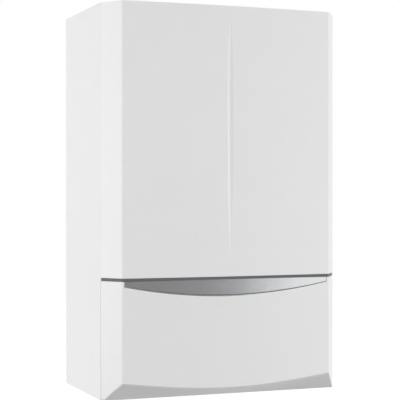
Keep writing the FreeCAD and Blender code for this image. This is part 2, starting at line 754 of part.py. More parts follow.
def strike_y():
    """Rear face of the strike plates on the flap."""
    return FLAP_REAR - FLAP_GAP - CATCH_H


def flap_strikes():
    """Two steel plates hung from the flap's top plate for the magnetic catches."""
    strikes = []
    for side in (-1, 1):
        x0 = side * CATCH_X - CATCH_W / 2
        y1 = strike_y()
        low = catch_z() - CATCH_H
        strikes.append(box(x0, x0 + CATCH_W, y1 - STRIKE_T, y1, low, FLAP_TOP - FLAP_WALL))
    return group(strikes)


def flap_catches():
    """Two magnetic catches on the fascia's upper edge."""
    catches = []
    for side in (-1, 1):
        x = side * CATCH_X
        front = strike_y() + CATCH_PLAY
        body = box(x - CATCH_W / 2, x + CATCH_W / 2, front, FASCIA_Y, catch_z() - CATCH_H, catch_z())
        catches.append(body.makeChamfer(1.0, [e for e in body.Edges if abs(e.CenterOfMass.y - front) < 0.01]))
    return group(catches)


def window_hole():
    """Display opening in the fascia."""
    low = FASCIA_LOW + WINDOW_UP - WINDOW_H / 2
    return box(WINDOW_X - WINDOW_W / 2, WINDOW_X + WINDOW_W / 2, FASCIA_Y, BOX_Y, low, low + WINDOW_H)


def button_places():
    """Centres of the push buttons, under the display."""
    first = WINDOW_X - BUTTON_PITCH * (BUTTON_COUNT - 1) / 2
    return [first + BUTTON_PITCH * i for i in range(BUTTON_COUNT)]


def button_cap(x, grow, y0, y1):
    """Rounded button section between two depths."""
    width = BUTTON_W + 2 * grow
    height = BUTTON_H + 2 * grow
    low = FASCIA_LOW + BUTTON_UP - height / 2
    return rounded_plate(width, height, BUTTON_H / 4, x, low, y0, y1)


def control_fascia():
    """Front plate of the controls with its openings."""
    body = rounded_plate(FASCIA_W, FASCIA_H, FASCIA_R, 0, FASCIA_LOW, FASCIA_Y, BOX_Y)
    body = body.cut(window_hole())
    for x in button_places():
        body = body.cut(button_cap(x, BUTTON_PLAY, FASCIA_Y, BOX_Y))
    for x in KNOB_XS:
        body = body.cut(rod((x, FASCIA_Y, FASCIA_LOW + KNOB_UP), Y_AXIS, SHAFT_R + SHAFT_PLAY, FASCIA_T))
    return body.cut(rod((GAUGE_X, FASCIA_Y, FASCIA_LOW + GAUGE_UP), Y_AXIS, GAUGE_R, FASCIA_T))


def control_box():
    """Tray behind the fascia with board bosses, gland holes and two legs on the bottom plate."""
    body = rounded_plate(FASCIA_W, FASCIA_H, FASCIA_R, 0, FASCIA_LOW, BOX_Y, BOX_REAR)
    inner_w = FASCIA_W - 2 * BOX_WALL
    inner_h = FASCIA_H - 2 * BOX_WALL
    inner_r = FASCIA_R - BOX_WALL
    low = FASCIA_LOW + BOX_WALL
    body = body.cut(rounded_plate(inner_w, inner_h, inner_r, 0, low, BOX_Y, BOX_REAR - BOX_WALL))
    legs = []
    for side in (-1, 1):
        x = side * LEG_X
        leg = box(x - LEG_W / 2, x + LEG_W / 2, BOX_REAR - LEG_D, BOX_REAR, BOTTOM + SHEET, FASCIA_LOW)
        legs.append(leg)
    bosses = []
    for x, z in board_corners():
        bosses.append(rod((x, board_y() + BOARD_T, z), Y_AXIS, BOSS_R, BOARD_BACK))
    body = fused(body, *(legs + bosses))
    for x in GLAND_XS:
        body = body.cut(rod((x, gland_y(), FASCIA_LOW), Z_AXIS, GLAND_R - BOX_WALL, BOX_WALL))
    return body


def board_y():
    """Front face of the main board."""
    return BOX_REAR - BOX_WALL - BOARD_BACK - BOARD_T


def board_corners():
    """Screw places of the main board."""
    half_w = BOARD_W / 2 - 2 * BOSS_R
    half_h = BOARD_H / 2 - 2 * BOSS_R
    mid = FASCIA_LOW + FASCIA_H / 2
    return [(sx * half_w, mid + sz * half_h) for sx in (-1, 1) for sz in (-1, 1)]


def gland_y():
    """Depth of the cable glands under the control box."""
    return BOX_REAR - BOX_DEPTH / 2


def main_board():
    """Circuit board with its row of relays and a transformer block."""
    mid = FASCIA_LOW + FASCIA_H / 2
    low = mid - BOARD_H / 2
    y1 = board_y()
    board = box(-BOARD_W / 2, BOARD_W / 2, y1, y1 + BOARD_T, low, low + BOARD_H)
    blocks = []
    for i in range(5):
        x = -BOARD_W / 2 + RELAY * (2 + 2 * i)
        blocks.append(box(x, x + RELAY, y1 - RELAY, y1, low + RELAY, low + 2 * RELAY))
    blocks.append(box(RELAY, 4 * RELAY, y1 - 1.5 * RELAY, y1, low + RELAY, low + 4 * RELAY))
    return fused(board, *blocks)


def display_window():
    """Clear window with a rim behind the fascia."""
    low = FASCIA_LOW + WINDOW_UP - WINDOW_H / 2
    pane = box(WINDOW_X - WINDOW_W / 2, WINDOW_X + WINDOW_W / 2, BOX_Y - WINDOW_T, BOX_Y, low, low + WINDOW_H)
    rim_w = WINDOW_W + 2 * WINDOW_RIM
    rim_h = WINDOW_H + 2 * WINDOW_RIM
    rim = rounded_plate(rim_w, rim_h, WINDOW_RIM, WINDOW_X, low - WINDOW_RIM, BOX_Y, BOX_Y + WINDOW_T)
    return fused(pane, rim)


def display_module():
    """Display behind the window."""
    low = FASCIA_LOW + WINDOW_UP - WINDOW_H / 2
    y0 = BOX_Y + WINDOW_T
    return box(WINDOW_X - WINDOW_W / 2, WINDOW_X + WINDOW_W / 2, y0, y0 + MODULE_T, low, low + WINDOW_H)


def knob(x):
    """Round knob with a raised grip bar and its shaft."""
    z = FASCIA_LOW + KNOB_UP
    base_h = KNOB_H / 2
    rear = FASCIA_Y - RUN_GAP
    profile = [(0, 0), (KNOB_R, 0), (KNOB_R, base_h * 0.7), (KNOB_R - 2, base_h), (0, base_h)]
    disc = turned(profile, (x, rear, z), V(0, -1, 0))
    barrel = rod((x, rear - KNOB_H, z), Y_AXIS, KNOB_R - 2, KNOB_H)
    grip = box(x - KNOB_GRIP / 2, x + KNOB_GRIP / 2, rear - KNOB_H, rear, z - KNOB_R, z + KNOB_R)
    shaft = rod((x, rear, z), Y_AXIS, SHAFT_R, board_y() - rear - RUN_GAP)
    return fused(disc, barrel.common(grip), shaft)


def button(x):
    """Push button: a cap through the fascia and a flange behind it."""
    cap = button_cap(x, 0, FASCIA_Y - BUTTON_RISE, BOX_Y + RUN_GAP)
    flange_y = BOX_Y + RUN_GAP
    flange = button_cap(x, BUTTON_FLANGE, flange_y, flange_y + BUTTON_FLANGE)
    return fused(cap, flange)


def gauge_body():
    """Gauge cup with a bezel on the fascia and its dial."""
    dial = DIAL_BACK
    inner = GAUGE_R - GAUGE_WALL
    bezel = GAUGE_R + GAUGE_BEZEL
    profile = [(0, dial), (inner, dial), (inner, -GAUGE_BEZEL), (bezel, -GAUGE_BEZEL), (bezel, 0)]
    profile += [(GAUGE_R, 0), (GAUGE_R, GAUGE_DEPTH), (0, GAUGE_DEPTH)]
    cup = turned(profile, (GAUGE_X, FASCIA_Y, FASCIA_LOW + GAUGE_UP), Y_AXIS)
    bore = SHAFT_R / 2 + PIN_PLAY
    return cup.cut(rod((GAUGE_X, FASCIA_Y, FASCIA_LOW + GAUGE_UP), Y_AXIS, bore, GAUGE_DEPTH))


def gauge_needle():
    """Tapered pointer on its staff."""
    z = FASCIA_LOW + GAUGE_UP
    y0 = FASCIA_Y + DIAL_BACK - 2 * NEEDLE_T
    tail = SHAFT_R
    points = [(GAUGE_X - tail, z), (GAUGE_X, z - 2 * tail), (GAUGE_X + tail, z), (GAUGE_X, z + NEEDLE_L)]
    pointer = prism_xz(points, y0, y0 + NEEDLE_T)
    staff = rod((GAUGE_X, y0, z), Y_AXIS, SHAFT_R / 2, GAUGE_DEPTH / 2)
    return fused(pointer, staff)


def gauge_lens():
    """Clear disc in the bezel."""
    z = FASCIA_LOW + GAUGE_UP
    return rod((GAUGE_X, FASCIA_Y - GAUGE_BEZEL, z), Y_AXIS, GAUGE_R - GAUGE_WALL, LENS_T)


def cable_glands():
    """Three glands under the control box."""
    glands = []
    neck = GLAND_R - BOX_WALL
    flat = GLAND_L / 3
    profile = [(0, -BOX_WALL), (neck, -BOX_WALL), (neck, 0), (GLAND_R, 0), (GLAND_R, flat)]
    profile += [(neck, GLAND_L), (0, GLAND_L)]
    for x in GLAND_XS:
        gland = turned(profile, (x, gland_y(), FASCIA_LOW), V(0, 0, -1))
        bore = rod((x, gland_y(), FASCIA_LOW - GLAND_L), Z_AXIS, neck / 2, GLAND_L + BOX_WALL)
        glands.append(gland.cut(bore))
    return group(glands)


def exchanger_shell():
    """Drum with a flanged mouth, a dished end, water and drain stubs and wall lugs."""
    end = EX_LEN
    outer = [(0, end), (EX_R - EX_DOME, end), (EX_R, end - EX_DOME), (EX_R, 0)]
    inner_r = EX_R - EX_WALL
    mouth = MOUTH_R
    inner = [(mouth, 0), (mouth, EX_WALL), (inner_r, EX_WALL), (inner_r, end - EX_DOME)]
    inner += [(inner_r - EX_DOME, end - EX_WALL), (0, end - EX_WALL)]
    body = turned(outer + inner, (EX_X, CONN_Y, EX_Z), X_AXIS)
    hollow = rod((EX_X, CONN_Y, EX_Z), X_AXIS, EX_R - EX_WALL / 2, EX_LEN - EX_WALL)
    extras = []
    for x in (FLOW_X, RETURN_X, DRAIN_X):
        stub = rod((x, CONN_Y, EX_STUB_LOW), Z_AXIS, STUB_R, EX_R)
        extras.append(stub.cut(hollow))
    flue = rod((FLUE_X, CONN_Y, EX_Z), Z_AXIS, FLUE_R + FLUE_WALL + EX_WALL, EX_R + STUB_L)
    extras.append(flue.cut(hollow))
    for x in LUG_XS:
        lug = box(x - LUG_W / 2, x + LUG_W / 2, CONN_Y, BACK_Y, EX_Z - LUG_H / 2, EX_Z + LUG_H / 2)
        extras.append(lug.cut(hollow))
    body = fused(body, *extras)
    for x, radius in ((FLOW_X, PIPE_R), (RETURN_X, PIPE_R), (DRAIN_X, WASTE_R)):
        inside = radius - WASTE_WALL
        body = body.cut(rod((x, CONN_Y, EX_STUB_LOW), Z_AXIS, inside, EX_R))
    return body.cut(rod((FLUE_X, CONN_Y, EX_Z), Z_AXIS, FLUE_R, EX_R + STUB_L))


def exchanger_coil():
    """Hollow coil: stacked turns between two centring rings, with its two water ways."""
    inner_r = EX_R - EX_WALL - COIL_PLAY
    start = EX_WALL
    length = EX_LEN - EX_WALL - EX_DOME - start
    pitch = (length - 2 * COIL_END) / COIL_TURNS
    outer = [(COIL_IN, start), (inner_r, start), (inner_r, start + COIL_END)]
    for i in range(COIL_TURNS):
        base = start + COIL_END + i * pitch
        outer.append((COIL_OUT - COIL_GROOVE, base))
        outer.append((COIL_OUT, base + pitch * 0.3))
        outer.append((COIL_OUT, base + pitch * 0.7))
    last = start + length - COIL_END
    outer += [(COIL_OUT - COIL_GROOVE, last), (inner_r, last)]
    outer += [(inner_r, last + COIL_END), (COIL_IN, last + COIL_END)]
    body = turned(outer, (EX_X, CONN_Y, EX_Z), X_AXIS)
    water_in = COIL_IN + COIL_WALL
    water_out = COIL_OUT - COIL_GROOVE - COIL_WALL
    first = start + COIL_END
    water = [(water_in, first), (water_out, first), (water_out, last), (water_in, last)]
    body = body.cut(turned(water, (EX_X, CONN_Y, EX_Z), X_AXIS))
    for x in (FLOW_X, RETURN_X):
        body = body.cut(rod((x, CONN_Y, EX_Z - EX_R), Z_AXIS, TUBE_R, EX_R - COIL_IN - COIL_WALL))
    return body


def burner_tube():
    """Closed burner tube on a flange against the door."""
    end = BURNER_L
    inner_r = BURNER_R - BURNER_WALL
    profile = [(inner_r, 0), (BURNER_FLANGE_R, 0), (BURNER_FLANGE_R, BURNER_FLANGE_T)]
    profile += [(BURNER_R, BURNER_FLANGE_T), (BURNER_R, end), (0, end), (0, end - BURNER_WALL)]
    profile += [(inner_r, end - BURNER_WALL)]
    return turned(profile, (DOOR_IN, CONN_Y, EX_Z), X_AXIS)


def rod_place(side):
    """Electrode or sensor place on the door."""
    return CONN_Y + side * ROD_OFF, EX_Z + ROD_OFF / 2


def burner_door():
    """Cast door with radial ribs, a mixture inlet and two rod holes."""
    disc = rod((DOOR_OUT, CONN_Y, EX_Z), X_AXIS, DOOR_R, DOOR_T)
    hub_r = DOOR_BORE + DUCT_FLANGE * 2
    hub = rod((DOOR_OUT - RIB_H, CONN_Y, EX_Z), X_AXIS, hub_r, RIB_H)
    ribs = []
    rib_end = NUT_CIRCLE - 2 * NUT_R
    for i in range(DOOR_RIBS):
        y0 = CONN_Y - RIB_T / 2
        rib = box(DOOR_OUT - RIB_H, DOOR_OUT, y0, y0 + RIB_T, EX_Z + DOOR_BORE, EX_Z + rib_end)
        rib.rotate(V(DOOR_OUT, CONN_Y, EX_Z), X_AXIS, 360.0 / DOOR_RIBS * i)
        ribs.append(rib)
    body = fused(disc, hub, *ribs)
    body = body.cut(rod((DOOR_OUT - RIB_H, CONN_Y, EX_Z), X_AXIS, DOOR_BORE, DOOR_T + RIB_H))
    for side in (-1, 1):
        y, z = rod_place(side)
        body = body.cut(rod((DOOR_OUT - RIB_H, y, z), X_AXIS, CERAMIC_R + ROD_PLAY, RIB_H))
        body = body.cut(rod((DOOR_OUT, y, z), X_AXIS, ROD_R + ROD_PLAY, DOOR_T))
    return body


def door_nuts():
    """Hexagon nuts round the door."""
    nuts = []
    for i in range(NUT_COUNT):
        angle = math.radians(360.0 / NUT_COUNT * (i + 0.5))
        y = CONN_Y + NUT_CIRCLE * math.cos(angle)
        z = EX_Z + NUT_CIRCLE * math.sin(angle)
        corners = [math.radians(60 * k) for k in range(7)]
        hexagon = [V(DOOR_OUT - NUT_T, y + NUT_R * math.cos(a), z + NUT_R * math.sin(a)) for a in corners]
        nuts.append(Part.Face(Part.makePolygon(hexagon)).extrude(V(NUT_T, 0, 0)))
    return group(nuts)


def electrode(side):
    """Ceramic body outside the door and a rod through it."""
    y, z = rod_place(side)
    tip = CERAMIC_L + DOOR_T + ROD_IN
    step = CERAMIC_L * 0.4
    profile = [(0, 0), (CERAMIC_R / 2, 0), (CERAMIC_R / 2, step), (CERAMIC_R, step), (CERAMIC_R, CERAMIC_L)]
    profile += [(ROD_R, CERAMIC_L), (ROD_R, tip), (0, tip)]
    return turned(profile, (DOOR_OUT - CERAMIC_L, y, z), X_AXIS)


def volute_face(inset):
    """Plan of the fan's scroll: three quarter arcs of falling radius and a straight outlet."""
    step = VOLUTE_STEP
    first = VOLUTE_MAX - step - inset
    second = first - step
    third = second - step
    arcs = []
    for radius, dx, dy, angle in ((first, 0, step, 90), (second, -step, step, 180), (third, -step, 0, 270)):
        circle = Part.Circle(V(FAN_X + dx, CONN_Y + dy, 0), Z_AXIS, radius)
        arcs.append(Part.ArcOfCircle(circle, math.radians(angle), math.radians(angle + 90)).toShape())
    tongue_x = FAN_X - step + third
    mouth_x = FAN_X + OUTLET_REACH
    outer_y = CONN_Y + VOLUTE_MAX - inset
    inner_y = CONN_Y + VOLUTE_MAX - OUTLET_W + inset
    rim = [V(tongue_x, CONN_Y, 0), V(tongue_x, inner_y, 0), V(mouth_x, inner_y, 0)]
    rim += [V(mouth_x, outer_y, 0), V(FAN_X, outer_y, 0)]
    return Part.Face(Part.Wire(arcs + Part.makePolygon(rim).Edges))


def fan_housing():
    """Scroll housing with the inlet eye below, the shaft hole above and an open outlet."""
    low = FAN_Z - FAN_HALF
    outer = volute_face(0)
    outer.translate(V(0, 0, low))
    body = outer.extrude(V(0, 0, 2 * FAN_HALF))
    inner = volute_face(FAN_WALL)
    inner.translate(V(0, 0, low + FAN_WALL))
    body = body.cut(inner.extrude(V(0, 0, 2 * (FAN_HALF - FAN_WALL))))
    body = body.cut(rod((FAN_X, CONN_Y, low), Z_AXIS, FAN_EYE, FAN_WALL))
    return body.cut(rod((FAN_X, CONN_Y, FAN_Z), Z_AXIS, HUB_R, FAN_HALF))


def wheel(blades, sweep, outer_r, inner_r, height, thick):
    """Ring of swept blades standing on a plate, about Z at the origin."""
    plate = Part.makeCylinder(outer_r, PLATE_T, V(0, 0, height), Z_AXIS)
    pieces = []
    for i in range(blades):
        blade = box(inner_r, outer_r, -thick / 2, thick / 2, 0, height)
        blade.rotate(V(inner_r, 0, 0), Z_AXIS, -sweep)
        blade = blade.common(Part.makeCylinder(outer_r, height))
        blade.rotate(V(0, 0, 0), Z_AXIS, 360.0 / blades * i)
        pieces.append(blade)
    return fused(plate, *pieces)


def fan_impeller():
    """Backward-swept radial wheel with its hub and shaft."""
    body = wheel(IMPELLER_BLADES, BLADE_SWEEP, IMPELLER_R, BLADE_IN, BLADE_H, BLADE_T)
    hub = Part.makeCylinder(HUB_R - FAN_WALL, BLADE_H + PLATE_T)
    shaft = Part.makeCylinder(FAN_SHAFT_R, BLADE_H + PLATE_T + FAN_SHAFT_L)
    body = fused(body, hub, shaft)
    body.translate(V(FAN_X, CONN_Y, FAN_Z - BLADE_H / 2))
    return body


def fan_motor():
    """Motor can with cooling grooves, bored for the fan shaft."""
    pitch = MOTOR_L / MOTOR_FINS
    profile = [(FAN_SHAFT_R + PIN_PLAY, 0)]
    for i in range(MOTOR_FINS):
        base = i * pitch
        profile += [(MOTOR_R, base), (MOTOR_R, base + pitch * 0.6)]
        profile += [(MOTOR_R - FIN_D, base + pitch * 0.6), (MOTOR_R - FIN_D, base + pitch)]
    profile += [(0, MOTOR_L), (0, FAN_SHAFT_L), (FAN_SHAFT_R + PIN_PLAY, FAN_SHAFT_L)]
    return turned(profile, (FAN_X, CONN_Y, FAN_Z + FAN_HALF), Z_AXIS)


def venturi():
    """Necked mixing tube under the fan's eye with its gas port."""
    length = VENTURI_L
    waist = length * 0.45
    neck_out = VENTURI_THROAT + VENTURI_WALL
    inner_r = FAN_EYE
    profile = [(inner_r, 0), (VENTURI_R, 0), (VENTURI_R, VENTURI_WALL), (neck_out, waist)]
    profile += [(VENTURI_R, length), (VENTURI_R - VENTURI_WALL, length), (VENTURI_THROAT, waist)]
    top = FAN_Z - FAN_HALF
    body = turned(profile, (FAN_X, CONN_Y, top), V(0, 0, -1))
    port = rod((FAN_X, CONN_Y, port_z()), X_AXIS, PORT_R, PORT_REACH)
    void = rod((FAN_X, CONN_Y, top), V(0, 0, -1), neck_out - VENTURI_WALL / 2, length)
    body = fused(body, port.cut(void))
    return body.cut(rod((FAN_X, CONN_Y, port_z()), X_AXIS, PORT_R - 2 * VENTURI_WALL, PORT_REACH))


def port_z():
    """Height of the venturi's gas port and of the gas valve's outlet."""
    return VALVE_Z - VALVE_OUT


def gas_valve():
    """Gas valve block with two coil caps and its outlet to the venturi."""
    x0 = GAS_X - VALVE_W / 2
    y0 = CONN_Y - VALVE_D / 2
    body = box(x0, x0 + VALVE_W, y0, y0 + VALVE_D, VALVE_Z - VALVE_H, VALVE_Z)
    body = body.makeFillet(4.0, [e for e in body.Edges if e.BoundBox.ZLength > 1])
    port_end = FAN_X + PORT_REACH
    outlet = rod((port_end, CONN_Y, port_z()), X_AXIS, PORT_R, GAS_X - port_end)
    caps = []
    for k in (-1, 1):
        z = VALVE_Z - VALVE_H / 2 + k * COIL_CAP_R * 1.2
        caps.append(rod((GAS_X, y0 - COIL_CAP_H, z), Y_AXIS, COIL_CAP_R, COIL_CAP_H))
    return fused(body, outlet, *caps)


def gas_pipe():
    """Copper pipe from the gas connection to the valve."""
    low = STUB_LOW + STUB_THREAD
    body = rod((GAS_X, CONN_Y, low), Z_AXIS, PIPE_R, VALVE_Z - VALVE_H - low)
    end = rod((GAS_X, CONN_Y, STUB_LOW), Z_AXIS, GAS_STUB_R, STUB_THREAD)
    body = fused(body, end)
    return body.cut(rod((GAS_X, CONN_Y, STUB_LOW), Z_AXIS, PIPE_R - PIPE_WALL, VALVE_Z - VALVE_H - STUB_LOW))


def mixture_duct():
    """Duct that blends from the fan's square outlet to the door's round inlet."""
    start_x = FAN_X + OUTLET_REACH
    end_x = DOOR_OUT - RIB_H
    mid_y = CONN_Y + VOLUTE_MAX - OUTLET_W / 2

    def section(x, y, half_y, half_z, round_end):
        if round_end:
            circle = Part.Circle(V(x, y, FAN_Z), X_AXIS, half_y)
            turns = [math.radians(45 + 90 * k) for k in range(5)]
            arcs = [Part.ArcOfCircle(circle, a, b).toShape() for a, b in zip(turns, turns[1:])]
            return Part.Wire(arcs)
        signs = ((1, 1), (-1, 1), (-1, -1), (1, -1), (1, 1))
        corners = [(sy * half_y, sz * half_z) for sy, sz in signs]
        return Part.makePolygon([V(x, y + dy, FAN_Z + dz) for dy, dz in corners])

    half_w = OUTLET_W / 2
    outer = [section(start_x, mid_y, half_w, FAN_HALF, False)]
    outer.append(section(end_x, CONN_Y, DOOR_BORE + FAN_WALL, DOOR_BORE + FAN_WALL, True))
    inner = [section(start_x, mid_y, half_w - FAN_WALL, FAN_HALF - FAN_WALL, False)]
    inner.append(section(end_x, CONN_Y, DOOR_BORE, DOOR_BORE, True))
    return Part.makeLoft(outer, True, True).cut(Part.makeLoft(inner, True, True))


def flue_duct():
    """Exhaust pipe from the drum's flue stub to the adaptor."""
    low = EX_Z + EX_R + STUB_L
    return pipe((FLUE_X, CONN_Y, low), Z_AXIS, FLUE_R + FLUE_WALL, DUCT_WALL, TOP - FLUE_JOINT - low)


def flue_adaptor():
    """Concentric collar on the top panel: exhaust socket inside, air collar outside."""
    ring = AIR_R - COLLAR_WALL
    flange = pipe((FLUE_X, CONN_Y, TOP), Z_AXIS, COLLAR_FLANGE_R, COLLAR_FLANGE_R - ring, COLLAR_FLANGE_T)
    collar = pipe((FLUE_X, CONN_Y, TOP), Z_AXIS, AIR_R, COLLAR_WALL, COLLAR_UP)
    length = FLUE_JOINT + COLLAR_UP
    socket = pipe((FLUE_X, CONN_Y, TOP - FLUE_JOINT), Z_AXIS, FLUE_R + FLUE_WALL, FLUE_WALL, length)
    webs = []
    half = COLLAR_WALL / 2
    for i in range(COLLAR_WEBS):
        y0 = CONN_Y + FLUE_R + half
        y1 = CONN_Y + ring + half
        web = box(FLUE_X - half, FLUE_X + half, y0, y1, TOP, TOP + COLLAR_UP / 2)
        web.rotate(V(FLUE_X, CONN_Y, TOP), Z_AXIS, 360.0 / COLLAR_WEBS * i)
        webs.append(web)
    return fused(flange, collar, socket, *webs)


def flow_pipe():
    """Copper pipe from the exchanger to the flow manifold."""
    return pipe((FLOW_X, CONN_Y, MANIFOLD_Z), Z_AXIS, PIPE_R, PIPE_WALL, EX_STUB_LOW - MANIFOLD_Z)


def male_end(x, top):
    """Connection below the casing with a thick threaded length, and the pipe above it."""
    end = rod((x, CONN_Y, STUB_LOW), Z_AXIS, WATER_STUB_R, STUB_THREAD)
    return fused(end, rod((x, CONN_Y, STUB_LOW), Z_AXIS, PIPE_R + 2 * PIPE_WALL, top - STUB_LOW))


def flow_manifold():
    """Brass manifold with the flow connection, the safety valve's arm and the vessel's port."""
    low = MANIFOLD_Z - MANIFOLD_H
    mid = MANIFOLD_Z - MANIFOLD_H / 2
    barrel = rod((FLOW_X, CONN_Y, low), Z_AXIS, MANIFOLD_R, MANIFOLD_H)
    arm_x = FLOW_X - MANIFOLD_R - VALVE_ARM
    arm = rod((arm_x, CONN_Y, mid), X_AXIS, PORT_R, MANIFOLD_R + VALVE_ARM)
    port = rod((FLOW_X, CONN_Y, mid), Y_AXIS, TUBE_R + 2 * PIPE_WALL, PORT_Y - CONN_Y)
    body = fused(barrel, arm, port, male_end(FLOW_X, MANIFOLD_Z))
    bore = PIPE_R - PIPE_WALL
    return body.cut(rod((FLOW_X, CONN_Y, STUB_LOW), Z_AXIS, bore, MANIFOLD_Z - STUB_LOW))


def safety_x():
    """Middle of the safety valve."""
    return FLOW_X - MANIFOLD_R - VALVE_ARM - SAFETY_R


def safety_valve():
    """Square brass valve body with its discharge nozzle."""
    x = safety_x()
    mid = MANIFOLD_Z - MANIFOLD_H / 2
    half = SAFETY_H / 2
    body = box(x - SAFETY_R, x + SAFETY_R, CONN_Y - SAFETY_R, CONN_Y + SAFETY_R, mid - half, mid + half)
    nozzle = rod((x, CONN_Y, mid - half - STUB_L), Z_AXIS, PORT_R, STUB_L)
    return fused(body, nozzle)


def safety_cap():
    """Round test cap of the safety valve, with grip notches."""
    x = safety_x()
    low = MANIFOLD_Z - MANIFOLD_H / 2 + SAFETY_H / 2 + RUN_GAP
    cap = rod((x, CONN_Y, low), Z_AXIS, SAFETY_CAP_R, SAFETY_CAP_H)
    cap = cap.makeChamfer(2.0, [e for e in cap.Edges if abs(e.BoundBox.ZMin - low - SAFETY_CAP_H) < 0.01])
    for i in range(8):
        notch = rod((x + SAFETY_CAP_R + 1, CONN_Y, low), Z_AXIS, 3.0, SAFETY_CAP_H)
        notch.rotate(V(x, CONN_Y, low), Z_AXIS, 45.0 * i)
        cap = cap.cut(notch)
    return cap


def pump_body():
    """Pump casing with its upright ports and the return connection."""
    x0 = RETURN_X - PUMP_HALF
    body = rod((x0, CONN_Y, PUMP_Z), X_AXIS, PUMP_R, 2 * PUMP_HALF)
    upper = rod((RETURN_X, CONN_Y, PUMP_Z), Z_AXIS, PUMP_PORT_R, PUMP_PORT_L)
    body = fused(body, upper, male_end(RETURN_X, PUMP_Z))
    cavity = rod((x0 + PUMP_WALL, CONN_Y, PUMP_Z), X_AXIS, PUMP_R - PUMP_WALL, 2 * (PUMP_HALF - PUMP_WALL))
    bore_low = STUB_LOW
    bore = rod((RETURN_X, CONN_Y, bore_low), Z_AXIS, PIPE_R - PIPE_WALL, PUMP_Z + PUMP_PORT_L - bore_low)
    shaft = rod((RETURN_X, CONN_Y, PUMP_Z), X_AXIS, PUMP_SHAFT_R + RUN_GAP, PUMP_HALF)
    return body.cut(cavity).cut(bore).cut(shaft)


def pump_impeller():
    """Swept pump wheel with its shaft."""
    height = PUMP_HALF - PUMP_WALL
    body = wheel(PUMP_BLADES, BLADE_SWEEP, PUMP_WHEEL_R, PUMP_SHAFT_R * 2, height, BLADE_T)
    shaft = Part.makeCylinder(PUMP_SHAFT_R, height * 1.5 + PUMP_WALL + PUMP_SHAFT_L)
    body = fused(body, Part.makeCylinder(PUMP_SHAFT_R * 2.5, height), shaft)
    turn = FreeCAD.Rotation(Z_AXIS, X_AXIS)
    body.Placement = FreeCAD.Placement(V(RETURN_X - height / 2, CONN_Y, PUMP_Z), turn)
    return body


def pump_motor():
    """Pump motor with a stepped can, bored for the shaft."""
    bore = PUMP_SHAFT_R + PIN_PLAY
    step = PUMP_MOTOR_L * 0.3
    depth = PUMP_SHAFT_L + PUMP_WALL
    profile = [(bore, 0), (PUMP_MOTOR_R, 0), (PUMP_MOTOR_R, step), (PUMP_MOTOR_R - 4, step)]
    profile += [(PUMP_MOTOR_R - 4, PUMP_MOTOR_L - 4), (PUMP_MOTOR_R - 8, PUMP_MOTOR_L), (0, PUMP_MOTOR_L)]
    profile += [(0, depth), (bore, depth)]
    return turned(profile, (RETURN_X + PUMP_HALF, CONN_Y, PUMP_Z), X_AXIS)


def return_pipe():
    """Copper pipe from the pump to the exchanger."""
    low = PUMP_Z + PUMP_PORT_L
    return pipe((RETURN_X, CONN_Y, low), Z_AXIS, PIPE_R, PIPE_WALL, EX_STUB_LOW - low)


def expansion_vessel():
    """Dished steel vessel with a rolled seam, welded saddles and its water boss."""
    steps = 4
    dish = []
    for i in range(steps + 1):
        angle = math.radians(90.0 / steps * i)
        dish.append((VESSEL_R * math.sin(angle), VESSEL_DISH * (1 - math.cos(angle))))
    half = VESSEL_L / 2
    lip = VESSEL_SEAM
    first = dish + [(VESSEL_R, half - lip), (VESSEL_R + lip, half - lip)]
    second = [(r, VESSEL_L - s) for r, s in reversed(first)]
    body = turned(first + second, (VESSEL_X0, VESSEL_Y, VESSEL_Z), X_AXIS)
    core = rod((VESSEL_X0, VESSEL_Y, VESSEL_Z), X_AXIS, VESSEL_R - lip, VESSEL_L)
    extras = []
    for x in SADDLE_XS:
        x0 = x - SADDLE_W / 2
        low = VESSEL_Z - SADDLE_H / 2
        saddle = box(x0, x0 + SADDLE_W, VESSEL_Y, BACK_Y, low, low + SADDLE_H)
        extras.append(saddle.cut(core))
    boss = rod((TUBE_X, TUBE_Y, VESSEL_Z - VESSEL_R), Z_AXIS, TUBE_R + 2 * PIPE_WALL, VESSEL_R)
    extras.append(boss.cut(core))
    body = fused(body, *extras)
    inside_r = VESSEL_R - VESSEL_WALL
    inside = [(r * inside_r / VESSEL_R, s + VESSEL_WALL) for r, s in dish]
    inside += [(r, VESSEL_L - s) for r, s in reversed(inside)]
    body = body.cut(turned(inside, (VESSEL_X0, VESSEL_Y, VESSEL_Z), X_AXIS))
    return body.cut(rod((TUBE_X, TUBE_Y, VESSEL_Z - VESSEL_R), Z_AXIS, TUBE_R - PIPE_WALL, VESSEL_R))


def vessel_pipe():
    """Small tube with cut bends from the vessel down through the divider and round to the manifold."""
    low = MANIFOLD_Z - MANIFOLD_H / 2
    corners = [V(TUBE_X, TUBE_Y, VESSEL_Z - VESSEL_R), V(TUBE_X, TUBE_Y, low)]
    corners += [V(FLOW_X, TUBE_Y, low), V(FLOW_X, PORT_Y, low)]
    points = [corners[0]]
    for before, corner, after in zip(corners, corners[1:], corners[2:]):
        points.append(corner + (before - corner).normalize() * TUBE_BEND)
        points.append(corner + (after - corner).normalize() * TUBE_BEND)
    path = Part.makePolygon(points + corners[-1:])
    outside = Part.Wire(Part.makeCircle(TUBE_R, corners[0], Z_AXIS))
    bore = Part.Wire(Part.makeCircle(TUBE_R - PIPE_WALL, corners[0], Z_AXIS))
    return path.makePipeShell([outside], True, False, 1).cut(path.makePipeShell([bore], True, False, 1))


def condensate_pipe():
    """Plastic pipe from the drum's drain to the siphon."""
    low = SIPHON_Z + SIPHON_H
    return pipe((DRAIN_X, CONN_Y, low), Z_AXIS, WASTE_R, WASTE_WALL, EX_STUB_LOW - low)


